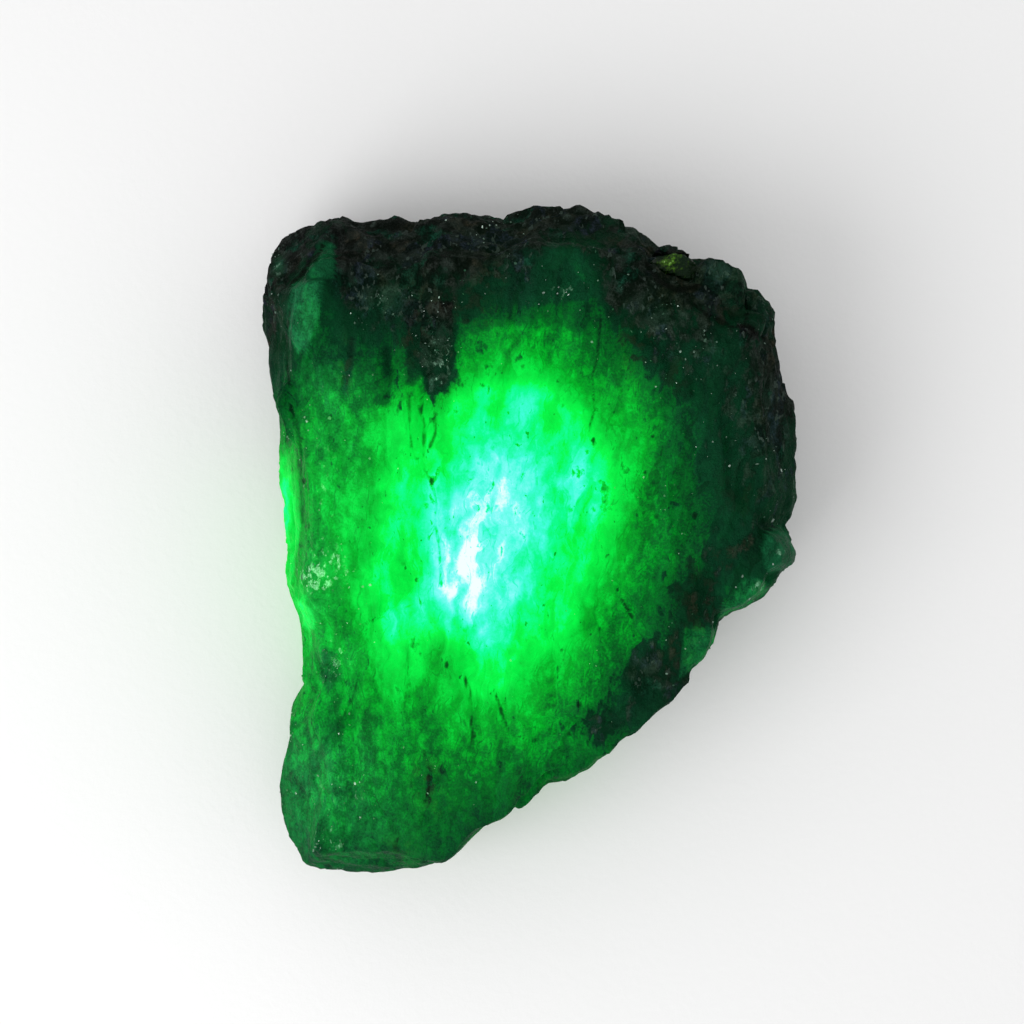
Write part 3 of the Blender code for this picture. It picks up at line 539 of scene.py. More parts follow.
def outline_radius(bearing):
    """Distance from the hub to the outline: where the ray meets the straight stretch between two corners,
    carried from the height that the outline is drawn at to that of the widest line there."""
    corners = OUTLINE - HUB
    angle = np.mod(np.arctan2(corners[:, 1], corners[:, 0]), math.tau)
    order = np.argsort(angle)
    corners, angle = corners[order], angle[order]
    after = np.searchsorted(angle, bearing) % len(angle)
    start, end = corners[after - 1], corners[after]
    along = end - start
    ray = np.stack((np.cos(bearing), np.sin(bearing)), axis=-1)
    reach = (start[:, 0] * along[:, 1] - start[:, 1] * along[:, 0]) / (
        ray[:, 0] * along[:, 1] - ray[:, 1] * along[:, 0]
    )
    return reach * (EYE_HEIGHT - side_at(bearing)[1]) / (EYE_HEIGHT - WIDEST_LINE)


def side_at(bearing):
    """The three columns of SIDE at each bearing, read straight between its rows."""
    degrees = np.degrees(bearing)
    return [np.interp(degrees, SIDE[:, 0], column, period=360) for column in SIDE.T[1:]]


def beside_line(plan, line):
    """Distance from each plan point to a line of corners, and how far it lies off the nearest stretch's
    own course, counted as positive on the right hand of someone walking the line."""
    distance = np.full(len(plan), np.inf)
    offset = np.zeros(len(plan))
    for start, end in zip(np.array(line[:-1]), np.array(line[1:])):
        along = end - start
        length = math.hypot(*along)
        gap = plan - start
        share = np.clip(gap @ along / length**2, 0, 1)
        away = np.hypot(*(gap - share[:, None] * along).T)
        side = (gap[:, 0] * along[1] - gap[:, 1] * along[0]) / length
        offset = np.where(away < distance, side, offset)
        distance = np.minimum(distance, away)
    return distance, offset


def seen(plan, height):
    """Plan places as the eye sees them: the nearer the eye, the further out from the spot below it."""
    nearer = (EYE_HEIGHT - WIDEST_LINE) / (EYE_HEIGHT - height)
    return EYE + (plan - EYE) * np.broadcast_to(nearer, len(plan))[:, None]


def inside(plan, corners):
    """1 well inside a convex polygon, 0 outside it: the least distance in from any side, eased."""
    corners = np.array(corners)
    middle = corners.mean(axis=0)
    depth = np.full(len(plan), np.inf)
    for start, end in zip(corners, np.roll(corners, -1, axis=0)):
        along = (end - start) / math.hypot(*(end - start))
        inwards = np.array((-along[1], along[0]))
        inwards = inwards * np.sign((middle - start) @ inwards)
        depth = np.minimum(depth, (plan - start) @ inwards)
    return eased(0.5 + depth / FACET_EDGE)


def top_height(plan, share_out):
    """Height of the top face: a tilted plane, a drop towards the rim that grows as the square of the
    way out, a bell for each swell, a step for each ledge and a narrow bell for each cleft."""
    height = TOP_HEIGHT + (plan - HUB) @ TOP_SLOPE - TOP_DROP * share_out**2 + bell_sum(plan, SWELLS)
    for line, loss, width, reach in LEDGES:
        distance, offset = beside_line(plan, line)
        height = height - loss * eased(0.5 + offset / width) * np.exp(-((distance / reach) ** 2))
    for line, depth, width in CLEFTS:
        distance, _ = beside_line(plan, line)
        height = height - depth * np.exp(-((distance / width) ** 2))
    view = seen(plan, FACET_HEIGHT)
    for corners, rise, slope_x, slope_y, *_ in FACETS:
        tilt = (view - np.mean(corners, axis=0)) @ np.array((slope_x, slope_y))
        height = height + (rise + tilt) * inside(view, corners)
    return height


def side_bend(share):
    """How far out and how far down a side has come at a share of the way from its rim to the widest
    line: part straight slope, part quarter ellipse."""
    angle = share * math.pi / 2
    out = share + SIDE_ROUNDING * (np.sin(angle) - share)
    down = share + SIDE_ROUNDING * (1 - np.cos(angle) - share)
    return out, down


def loft(directions):
    """Carries unit directions onto the stone without its relief, and returns the points and the share
    of the coarse relief that each one takes: little on the widest line and none on the flat underside.

    A direction's share of the sphere's area below it, from the north pole, says whether it belongs to
    the top face, the side or the underside. On the top and the underside the way out grows as the
    square root of that share, so the vertices lie evenly. The side is two bends that meet on the
    widest line.
    """
    bearing = np.mod(np.arctan2(directions[:, 1], directions[:, 0]), math.tau)
    share = (1 - directions[:, 2]) / 2
    ray = np.stack((np.cos(bearing), np.sin(bearing)), axis=-1)
    edge = outline_radius(bearing)
    rim_inset, waist_height, foot_inset = side_at(bearing)
    for rise, turns, start in WAIST_WAVES:
        waist_height = waist_height + rise * np.sin(turns * bearing + start)
    rim, foot = edge - rim_inset, edge - foot_inset

    out_top = np.sqrt(np.clip(share / TOP_SHARE, 0, 1))
    down = np.clip((share - TOP_SHARE) / SIDE_SHARE, 0, 1)
    out_under = np.sqrt(np.clip((1 - share) / (1 - TOP_SHARE - SIDE_SHARE), 0, 1))

    height = top_height(HUB + ray * (rim * out_top)[:, None], out_top)
    gained, sunk = side_bend(np.clip(down / WAIST, 0, 1))
    kept, risen = side_bend(np.clip((1 - down) / (1 - WAIST), 0, 1))
    reach = rim * out_top + (edge - rim) * gained - (edge - foot) * (1 - kept)
    height = height + (waist_height - height) * sunk
    lift = UNDERSIDE_RISE * eased((out_under - UNDERSIDE_FLAT) / (1 - UNDERSIDE_FLAT))
    height = np.where(down > WAIST, lift + (waist_height - lift) * risen, height)
    reach = reach * np.where(down >= 1, out_under, 1)

    points = np.column_stack((HUB + ray * reach[:, None], height))
    waist_share = TOP_SHARE + SIDE_SHARE * WAIST
    calm = WAIST_CALM * np.exp(-(((share - waist_share) / (WAIST_CALM_REACH * SIDE_SHARE)) ** 2))
    return points, (1 - calm) * np.where(down >= 1, eased(1.6 * out_under - 0.6), 1)


def from_heart(points):
    """Steps from the stone's heart plate, a shrunken copy of its plan at one height, to each point."""
    plan = HUB + HEART_REACH * (points[:, :2] - HUB)
    return points - np.column_stack((plan, np.full(len(points), HEART_HEIGHT)))


def lattice_draw(cell, number):
    """A fixed draw from -1 to 1 for each whole-numbered lattice point: its coordinates, multiplied by
    large odd numbers, are folded together and shifted."""
    folded = cell @ DRAW_FACTORS + number * DRAW_STEP & DRAW_BITS
    folded = (folded ^ folded >> 15) * DRAW_STIR & DRAW_BITS
    return ((folded ^ folded >> 13) & 0xFFFF) / 32767.5 - 1


def broken_cells(points, size, number, grain):
    """Relief from about -1 to 1 for a rock that breaks in cells: every cell has a jittered seed and a
    plane tilted its own way, and a point takes the planes of the seeds round it, the near ones most."""
    place = points / (size * grain)
    home = np.floor(place).astype(np.int64)
    total = np.zeros(len(points))
    weights = np.zeros(len(points))
    for step in itertools.product((-1, 0, 1), repeat=3):
        cell = home + np.array(step)
        jitter = np.column_stack([lattice_draw(cell, number + axis) for axis in range(3)])
        tilt = np.column_stack([lattice_draw(cell, number + 3 + axis) for axis in range(3)])
        offset = place - (cell + 0.5 + 0.4 * jitter)
        weight = np.exp(-FACET_BLEND * np.sum(offset**2, axis=1)) + 1e-12
        total += weight * (np.sum(offset * tilt, axis=1) + 0.4 * lattice_draw(cell, number + 6))
        weights += weight
    return total / weights


def relief_from(points, table, grain=GRAIN):
    """Sum of the broken cells of each row of a relief table, each times its depth."""
    return sum(depth * broken_cells(points, size, number, grain) for size, depth, number in table)


def broken_flat(points, x, y, z, bearing, rise, reach):
    """Draws what stands beyond a plane in towards the stone's heart until it lies on the plane, wholly
    near the plane's middle and not at all past its reach."""
    bearing, rise = math.radians(bearing), math.radians(rise)
    normal = np.array((
        math.cos(rise) * math.cos(bearing),
        math.cos(rise) * math.sin(bearing),
        math.sin(rise),
    ))
    offset = points - np.array((x, y, z))
    step = from_heart(points)
    facing = step @ normal
    beyond = np.clip(offset @ normal, 0, None)
    hold = eased(BREAK_HOLD * (1 - np.linalg.norm(offset, axis=1) / reach))
    share = np.where(facing > BREAK_FACING, beyond / np.maximum(facing, BREAK_FACING), 0)
    return points - step * (np.clip(share, 0, BREAK_MOST) * hold)[:, None]


def within_outline(plan, inset=0.0):
    """Draws plan points that stand outside the outline, less an inset, back onto it, towards the hub."""
    offset = plan - HUB
    edge = outline_radius(np.mod(np.arctan2(offset[:, 1], offset[:, 0]), math.tau)) - inset
    away = np.maximum(np.hypot(offset[:, 0], offset[:, 1]), 1e-9)
    return HUB + offset * np.minimum(edge / away, 1)[:, None]


def above(points, band):
    """0 below a height, 1 from a climb above it, and a smooth rise between."""
    height, climb = band
    return eased((points[:, 2] - height) / climb)


def vein_darkness(points):
    """How dark cracks and specks make each point, from 0 to 1: the darkest of a narrow bell round each
    line and each speck, on the top face only."""
    view = seen(points[:, :2], points[:, 2])
    darkness = np.zeros(len(points))
    for line, width, dark in VEINS:
        distance, _ = beside_line(view, line)
        darkness = np.maximum(darkness, dark * np.exp(-((distance / width) ** 2)))
    for x, y, radius, dark in SPECKS:
        distance = np.hypot(view[:, 0] - x, (view[:, 1] - y) * 0.8)
        darkness = np.maximum(darkness, dark * np.exp(-((distance / radius) ** 4)))
    return darkness * above(points, VEINS_FROM)


def on_facets(points, column):
    """Sum over the facets and patches of one of the last three numbers in their rows, on the top face
    and the upper sides."""
    view = seen(points[:, :2], points[:, 2])
    total = sum(row[column] * inside(view, row[0]) for row in (*FACETS, *PATCHES) if row[column])
    return total * above(points, PATCHES_FROM)


def stone_points(directions):
    """The stone's surface in millimetres for unit directions: the loft, its coarse relief, its flat
    breaks, its fine relief and cracks, and the flat underside, fitted to the solid's own box. The fine
    relief is rough on the rind and on sugar, and smooth on the clear beryl."""
    points, relief_share = loft(directions)
    view = seen(points[:, :2], points[:, 2])
    flat = above(points, FACETS_FROM) * np.max([inside(view, facet[0]) for facet in FACETS], axis=0)
    relief_share = relief_share * (1 - FACET_CALM * flat)
    relief = relief_from(points, RELIEF)
    outwards = from_heart(points)
    outwards = outwards / np.linalg.norm(outwards, axis=1)[:, None]
    points = points + outwards * (relief * relief_share)[:, None]
    for plane in BREAKS:
        points = broken_flat(points, *plane)
    points[:, :2] = within_outline(points[:, :2], FINE_INSET)
    rough = CLEAR_ROUGHNESS + RIND_ROUGHNESS * eased(bells(points, RIND))
    rough = rough + SUGAR_ROUGHNESS * eased(bells(points, SUGAR))
    fine = relief_from(points, FINE_RELIEF) * rough * (1 - FACET_CALM_FINE * flat)
    fine = fine - CRACK_DEPTH * vein_darkness(points)
    points = points + outwards * fine[:, None]
    points[:, 2] = np.clip(points[:, 2], 0, None)
    low, high = points.min(axis=0), points.max(axis=0)
    return STONE_BOX[0] + (points - low) / (high - low) * (STONE_BOX[1] - STONE_BOX[0])


def bell_sum(plan, table):
    """Sum of one bell for each row of a table: middle x, y, reach along x, y, and height."""
    total = np.zeros(len(plan))
    for x, y, reach_x, reach_y, amount in table:
        bell = ((plan[:, 0] - x) / reach_x) ** 2 + ((plan[:, 1] - y) / reach_y) ** 2
        total += amount * np.exp(-bell)
    return total


def bells(points, table):
    """The sum of a table's bells as the eye above sees them."""
    return bell_sum(seen(points[:, :2], points[:, 2]), table)


def lamp_light(points):
    """How much of the lamp's light reaches the eye at each point, 1 being white: a level field that
    fades outside an ellipse, a brighter core inside a smaller one, and a bell for each outlet. Low on
    the sides the way to the lamp is shorter, so the field is stronger there."""
    # Painted light: this field sets the stone's emission, as no lamp lies below it in the scene.
    view = seen(points[:, :2], points[:, 2])
    across = view[:, 0] - LAMP_MIDDLE[0] - LAMP_LEAN * (view[:, 1] - LAMP_MIDDLE[1])
    along = view[:, 1] - LAMP_MIDDLE[1]
    away = np.hypot(across, along)
    ring = np.maximum(np.hypot(across / FIELD_REACH[0], along / FIELD_REACH[1]), 1)
    nearer = 1 + SIDE_GAIN * np.clip(1 - points[:, 2] / SIDE_GAIN_HEIGHT, 0, 1)
    light = FIELD_LIGHT * np.exp(-away * (1 - 1 / ring) / LAMP_FADE) * nearer
    ring = np.hypot(across / CORE_REACH[0], along / CORE_REACH[1])
    light = light + CORE_LIGHT * eased((1 - ring) / CORE_SOFTNESS)
    depth = (OUTLET_HEIGHT - points[:, 2]) / OUTLET_HEIGHT
    light = light + bell_sum(view, TOP_OUTLETS) * np.exp(-(depth**2))
    place = np.column_stack((view, points[:, 2]))
    for x, y, z, reach_x, reach_y, reach_z, amount in SIDE_OUTLETS:
        bell = ((place - (x, y, z)) / (reach_x, reach_y, reach_z)) ** 2
        light = light + amount * np.exp(-bell.sum(axis=1))
    return np.clip(light + on_facets(points, LIGHT), 0, 1)


def lamp_leak(points):
    """How much of the lamp's bare light slips out under the slanting edge: most at the foot of that side,
    easing off within two millimetres up it."""
    low = eased((LEAK_HEIGHT - points[:, 2]) / LEAK_CLIMB)
    return LEAK * low * eased((points @ LEAK_WAY - LEAK_OUT) / LEAK_SPREAD)


def plan_at(places, height):
    """Where plan places that are seen from above truly lie at a height: the reverse of seen."""
    return EYE + (np.array(places) - EYE) * (EYE_HEIGHT - height) / (EYE_HEIGHT - WIDEST_LINE)


def block_points(directions, corners, top, foot, slope, cuts):
    """An angular block: along each unit direction from its middle, the nearest of its flat faces, with the
    meeting edges rounded by a power mean of the ways to all faces. The faces are a tilted top, a flat
    foot that is set BLOCK_LEAN nearer the hub than the top, one side on each edge of the plan, as seen
    from above, and a cut for each bearing, rise and distance from the middle. Gives the points and the
    number of the face that each lies on."""
    half = (top + foot) / 2
    lean = HUB - np.mean(corners, axis=0)
    lean = lean * BLOCK_LEAN / math.hypot(*lean)
    middle = np.append(plan_at(np.mean(corners, axis=0), half) + lean / 2, half)
    upper = np.column_stack((plan_at(corners, top), np.full(len(corners), top)))
    lower = np.column_stack((plan_at(corners, foot) + lean, np.full(len(corners), foot)))
    sides = np.cross(np.roll(upper, -1, axis=0) - upper, lower - upper)
    sides /= np.linalg.norm(sides, axis=1)[:, None]
    reach = np.sum(sides * (upper - middle), axis=1)
    sides, reach = sides * np.sign(reach)[:, None], np.abs(reach)
    lid = np.array((-slope[0], -slope[1], 1.0)) / math.hypot(slope[0], slope[1], 1.0)
    bearing, rise = np.radians([cut[:2] for cut in cuts]).reshape(-1, 2).T
    faces = np.column_stack((np.cos(rise) * np.cos(bearing), np.cos(rise) * np.sin(bearing), np.sin(rise)))
    normals = np.concatenate((sides, lid[None], ((0.0, 0.0, -1.0),), faces))
    reach = np.concatenate((reach, (lid[2] * (top - half), half - foot), [cut[2] for cut in cuts]))
    nearness = np.clip(directions @ normals.T / reach, 0, None)
    away = (nearness**BLOCK_KEENNESS).sum(axis=1)[:, None] ** (-1 / BLOCK_KEENNESS)
    return middle + directions * away, nearness.argmax(axis=1)


def cube_sphere(squares):
    """Unit directions and four-cornered faces of a cube blown up to a sphere, as arrays.

    Each of the cube's six faces is a grid of two parameters from -1 to 1, with the tangent of an eighth
    of a turn times each, which evens out the squares. Corners shared by two faces are made one."""
    step = np.arange(squares + 1)
    first, second = np.meshgrid(step, step, indexing="ij")
    first, second = first.ravel(), second.ravel()
    lattice, quads = [], []
    corner = np.arange(squares)[:, None] * (squares + 1) + np.arange(squares)
    square = np.stack((corner, corner + squares + 1, corner + squares + 2, corner + 1), axis=-1).reshape(-1, 4)
    for axis, far in itertools.product(range(3), (0, 1)):
        grid = np.empty((len(first), 3), dtype=np.int64)
        grid[:, axis] = far * squares
        grid[:, (axis + 1) % 3] = first
        grid[:, (axis + 2) % 3] = second
        quads.append((square if far else square[:, ::-1]) + sum(map(len, lattice)))
        lattice.append(grid)
    lattice, index = np.unique(np.concatenate(lattice), axis=0, return_inverse=True)
    cube = np.tan((2 * lattice / squares - 1) * math.pi / 4)
    return cube / np.linalg.norm(cube, axis=1)[:, None], index.reshape(-1)[np.concatenate(quads)]


def mesh_from(name, points, faces, smooth=True):
    """A mesh of equal-sided faces from points in millimetres."""
    mesh = bpy.data.meshes.new(name)
    sides = faces.shape[1]
    mesh.vertices.add(len(points))
    mesh.vertices.foreach_set("co", (points * MM).astype(np.float32).ravel())
    mesh.loops.add(faces.size)
    mesh.loops.foreach_set("vertex_index", faces.astype(np.int32).ravel())
    mesh.polygons.add(len(faces))
    mesh.polygons.foreach_set("loop_start", np.arange(0, faces.size, sides, dtype=np.int32))
    mesh.polygons.foreach_set("use_smooth", np.full(len(faces), smooth))
    mesh.update(calc_edges=True)
    mesh.validate()
    return mesh


def add_piece(name, mesh, material):
    """A piece of the object on the frame's one body, taking the material that it is given."""
    piece = bpy.data.objects.new(name, mesh)
    bpy.context.scene.collection.objects.link(piece)
    mesh.materials.append(material)
    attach(piece, "root")
    return piece


def give_attributes(mesh, **attributes):
    """One number for each point of a mesh, for each named attribute."""
    for name, values in attributes.items():
        mesh.attributes.new(name, "FLOAT", "POINT").data.foreach_set("value", values.astype(np.float32))


# Shader helpers.


def put(tree, socket, value):
    """Links value into the socket when value is itself a socket, and sets it as a number otherwise."""
    if isinstance(value, bpy.types.NodeSocket):
        tree.links.new(value, socket)
    else:
        socket.default_value = value


def add_node(tree, kind, inputs=(), **settings):
    node = tree.nodes.new("ShaderNode" + kind)
    for name, value in settings.items():
        setattr(node, name, value)
    for name, value in dict(inputs).items():
        put(tree, node.inputs[name], value)
    return node


def maths(tree, operation, *values, clamp=False):
    return add_node(tree, "Math", enumerate(values), operation=operation, use_clamp=clamp).outputs[0]


def times(tree, first, second, clamp=False):
    return maths(tree, "MULTIPLY", first, second, clamp=clamp)


def weighed(tree, start, *pairs):
    """A start plus each value times its share."""
    for value, share in pairs:
        start = maths(tree, "MULTIPLY_ADD", value, share, start)
    return start


def spread(tree, value, low, high, to_low=0.0, to_high=1.0):
    """Smoothly carries low..high onto to_low..to_high, and holds the ends."""
    inputs = {"Value": value, "From Min": low, "From Max": high, "To Min": to_low, "To Max": to_high}
    return add_node(tree, "MapRange", inputs, interpolation_type="SMOOTHSTEP").outputs["Result"]


def noise(tree, vector, scale, detail=4.0, roughness=0.55):
    inputs = {"Vector": vector, "Scale": scale, "Detail": detail, "Roughness": roughness}
    return add_node(tree, "TexNoise", inputs).outputs[0]


def bumped(tree, height, strength):
    """Normals of a surface whose height runs from 0 to 1 over BUMP_HEIGHT."""
    inputs = {"Height": height, "Strength": strength, "Distance": BUMP_HEIGHT}
    return add_node(tree, "Bump", inputs).outputs[0]


def mixed(tree, factor, first, second, blend="MIX"):
    """Mixes two colours."""
    node = add_node(tree, "Mix", data_type="RGBA", blend_type=blend)
    put(tree, node.inputs[0], factor)
    put(tree, node.inputs[6], first)
    put(tree, node.inputs[7], second)
    return node.outputs[2]


def new_group(name, inputs, outputs):
    """A shader node group with named sockets. Returns it with its entrance's and its exit's sockets."""
    group = bpy.data.node_groups.new(name, "ShaderNodeTree")
    for label, kind, value in inputs:
        socket = group.interface.new_socket(label, in_out="INPUT", socket_type="NodeSocket" + kind)
        socket.default_value = value
    for label, kind in outputs:
        group.interface.new_socket(label, in_out="OUTPUT", socket_type="NodeSocket" + kind)
    return group, group.nodes.new("NodeGroupInput").outputs, group.nodes.new("NodeGroupOutput").inputs


def in_millimetres(tree):
    """Object coordinates in millimetres."""
    place = add_node(tree, "TexCoord").outputs["Object"]
    return add_node(tree, "VectorMath", {0: place, "Scale": 1000.0}, operation="SCALE").outputs[0]


GRAIN_OUTPUTS = ("Fibre", "Sheet", "Sugar", "Plate", "Cloud", "Grit", "Crack", "Fleck", "Crumb")
# Which of them shape the lamp's light and the rind, and what stands for them on the mica flakes.
LIGHT_GRAIN = ("Fibre", "Sheet", "Sugar", "Plate", "Cloud", "Grit", "Crack", "Fleck")
RIND_GRAIN = ("Fibre", "Sheet", "Sugar", "Plate", "Cloud", "Grit", "Crumb")
MICA_GRAIN = {"Sheet": 0.7, "Sugar": 0.7, "Plate": 0.6, "Cloud": 0.6, "Grit": 0.5}


def fibre_group():
    """Grain of the beryl: fibres that run along Y and fan out towards it, broad sheets of them, tall plates,
    clouds, a crumbly break, fine grit, hairline cracks, dark flecks and pale crumbs. All run from 0 to 1."""
    group, _, result = new_group("Beryl fibres", [], [(name, "Float") for name in GRAIN_OUTPUTS])
    place = in_millimetres(group)
    split = add_node(group, "SeparateXYZ", {0: place}).outputs
    fan = times(group, split["Y"], weighed(group, 0.11, (split["X"], 0.008)))
    across = maths(group, "SUBTRACT", split["X"], fan)
    straight = add_node(group, "CombineXYZ", {"X": across, "Y": split["Y"], "Z": split["Z"]}).outputs[0]
    bend = add_node(group, "TexNoise", {"Vector": place, "Scale": 0.45, "Detail": 1.0}).outputs["Color"]
    bend = add_node(group, "VectorMath", {0: bend, 1: (0.5, 0.5, 0.5)}, operation="SUBTRACT").outputs[0]
    bend = add_node(group, "VectorMath", {0: bend, "Scale": 1.8}, operation="SCALE").outputs[0]
    drawn = add_node(group, "VectorMath", {0: straight, 1: bend}, operation="ADD").outputs[0]

    def grain(source, scale, detail, roughness, shift=(0, 0, 0)):
        stretched = add_node(group, "Mapping", {"Vector": source, "Scale": scale, "Location": shift})
        return noise(group, stretched.outputs[0], 1.0, detail, roughness)

    def cells(source, scale, output):
        stretched = add_node(group, "Mapping", {"Vector": source, "Scale": scale}).outputs[0]
        return add_node(group, "TexVoronoi", {"Vector": stretched, "Scale": 1.0}, feature="F1").outputs[output]

    sheet = spread(group, grain(drawn, (0.46, 0.17, 0.34), 2.0, 0.45), 0.34, 0.66)
    rough = grain(place, (1.1, 0.9, 0.6), 4.0, 0.68)
    sugar = weighed(group, rough, (cells(place, (1.35, 1.0, 0.7), "Distance"), -0.34))
    sugar = spread(group, sugar, 0.14, 0.56)
    plate = cells(drawn, (0.85, 0.15, 0.5), "Color")
    cloud = weighed(group, cells(drawn, (0.62, 0.36, 0.5), "Distance"), (rough, -0.5))
    line = grain(drawn, (0.9, 0.16, 0.5), 2.0, 0.5, shift=(5, 2, 8))
    line = maths(group, "ABSOLUTE", maths(group, "SUBTRACT", line, 0.5))
    line = spread(group, line, 0.004, 0.030, 1.0, 0.0)
    fleck = grain(place, (2.2, 1.4, 1.1), 2.0, 0.5)
    values = {
        "Fibre": spread(group, grain(drawn, (1.15, 0.40, 0.5), 3.0, 0.5), 0.32, 0.68),
        "Sheet": sheet,
        "Sugar": sugar,
        "Grit": spread(group, grain(place, (5.5, 5.0, 3.0), 2.0, 0.6), 0.35, 0.65),
        "Plate": add_node(group, "SeparateColor", {0: plate}).outputs[0],
        "Cloud": spread(group, cloud, 0.50, -0.05),
        "Crack": times(group, line, spread(group, sugar, 0.35, 0.75)),
        "Fleck": times(group, spread(group, fleck, 0.68, 0.74), spread(group, sheet, 0.25, 0.75, 1.0, 0.2)),
        "Crumb": spread(group, fleck, 0.43, 0.34),
    }
    for name, value in values.items():
        put(group, result[name], value)
    return group


def lamp_group():
    """Colour of the lamp's light at the surface, from how much of it comes through. Where it is strong the
    stone is clear and only its broad grain shows, and where it is weak the crumbly break shows too."""
    group, given, result = new_group(
        "Light through beryl",
        [(name, "Float", 0.0) for name in ("Light", "Shade", "Vein", *LIGHT_GRAIN)],
        [("Color", "Color")],
    )
    # This colour is a painted glow for the lamp below, which is not in the scene.
    broad = (given["Sheet"], 0.22), (given["Plate"], 0.12), (given["Fibre"], 0.12), (given["Cloud"], 0.10)
    broad = weighed(group, -0.28, *broad)
    # The fine grain follows the bump's height, so it darkens the glow in the crumbly hollows and lightens it on
    # the crumbs: painted shade of the relief, strongest where the glow is weak.
    fine = weighed(group, -0.31, (given["Sugar"], 0.42), (given["Grit"], 0.20))
    grain = weighed(group, broad, (fine, spread(group, given["Light"], 0.24, 0.56, 1.0, 0.22)))
    contrast = spread(group, given["Light"], 0.28, 0.60, 1.12, 0.72)
    light = times(group, given["Light"], weighed(group, 1.0, (grain, contrast)))
    light = times(group, light, weighed(group, 1.0, (given["Shade"], -0.80)))
    crack = times(group, given["Crack"], spread(group, given["Light"], 0.30, 0.58, 0.45, 0.16))
    dark = maths(group, "MAXIMUM", given["Vein"], crack)
    dark = maths(group, "MAXIMUM", dark, times(group, given["Fleck"], 0.60))
    light = times(group, light, weighed(group, 1.0, (dark, -0.65)), clamp=True)
    ramp = add_node(group, "ValToRGB", {0: light})
    elements = ramp.color_ramp.elements
    (_, darkest), *between, (_, brightest) = LIGHT_COLOURS
    for place, colour in between:
        elements.new(place).color = (*colour, 1)
    elements[0].color, elements[-1].color = (*darkest, 1), (*brightest, 1)
    put(group, result["Color"], ramp.outputs["Color"])
    return group


def rind_group():
    """Mica rind that clings to the beryl: where it covers the stone, how far it dims the lamp around it, and
    its colour, in brown, green-black and slate patches with grey-green crumbs and soft pale spots."""
    group, given, result = new_group(
        "Mica rind",
        [
            ("Cover", "Float", 0.0),
            *[(name, "Float", 0.5) for name in RIND_GRAIN],
            ("Rind", "Color", (0.01, 0.01, 0.01, 1)),
        ],
        [("Mask", "Float"), ("Shade", "Float"), ("Color", "Color")],
    )
    place = in_millimetres(group)
    ragged = (given["Fibre"], 0.20), (given["Sheet"], 0.18), (given["Plate"], 0.26), (given["Sugar"], 0.26)
    cover = maths(group, "ADD", given["Cover"], weighed(group, -0.45, *ragged))
    put(group, result["Shade"], spread(group, cover, 0.20, 0.50))
    put(group, result["Mask"], spread(group, cover, 0.48, 0.80))
    patch = noise(group, place, 0.30, 3.0, 0.5)
    colour = mixed(group, spread(group, patch, 0.54, 0.66), given["Rind"], RIND_BROWN)
    colour = mixed(group, spread(group, patch, 0.46, 0.38), colour, RIND_GREEN)
    colour = mixed(group, spread(group, given["Sheet"], 0.80, 0.95), colour, RIND_SLATE)
    # The rind's colour is scaled up on the bump's raised crumbs and down in its hollows: partly the grain's own
    # tone, partly painted shade of the crumbly relief.
    grit = spread(group, given["Grit"], 0.0, 1.0, 0.5, 1.5)
    grain_and_relief_shade = times(group, spread(group, given["Sugar"], 0.1, 1.0, 0.25, 2.0), grit)
    colour = add_node(group, "VectorMath", {0: colour, "Scale": grain_and_relief_shade}, operation="SCALE").outputs[0]
    spots = spread(group, given["Sheet"], 0.35, 0.80, 0.1, 0.9)
    pale = times(group, spread(group, given["Crumb"], 0.2, 1.0), spots)
    pale = maths(group, "MAXIMUM", pale, times(group, spread(group, given["Cloud"], 0.60, 1.0), 0.22))
    put(group, result["Color"], mixed(group, pale, colour, RIND_PALE))
    return group


def use_group(tree, group, inputs=()):
    node = add_node(tree, "Group", node_tree=group)
    for name, value in dict(inputs).items():
        put(tree, node.inputs[name], value)
    return node.outputs


def shared_group(name, maker):
    return bpy.data.node_groups.get(name) or maker()


def painted(tree, name):
    return add_node(tree, "Attribute", attribute_name=name, attribute_type="GEOMETRY").outputs["Fac"]


def new_material(name):
    material = bpy.data.materials.new(name)
    material.use_nodes = True
    return material, material.node_tree, material.node_tree.nodes["Principled BSDF"].inputs


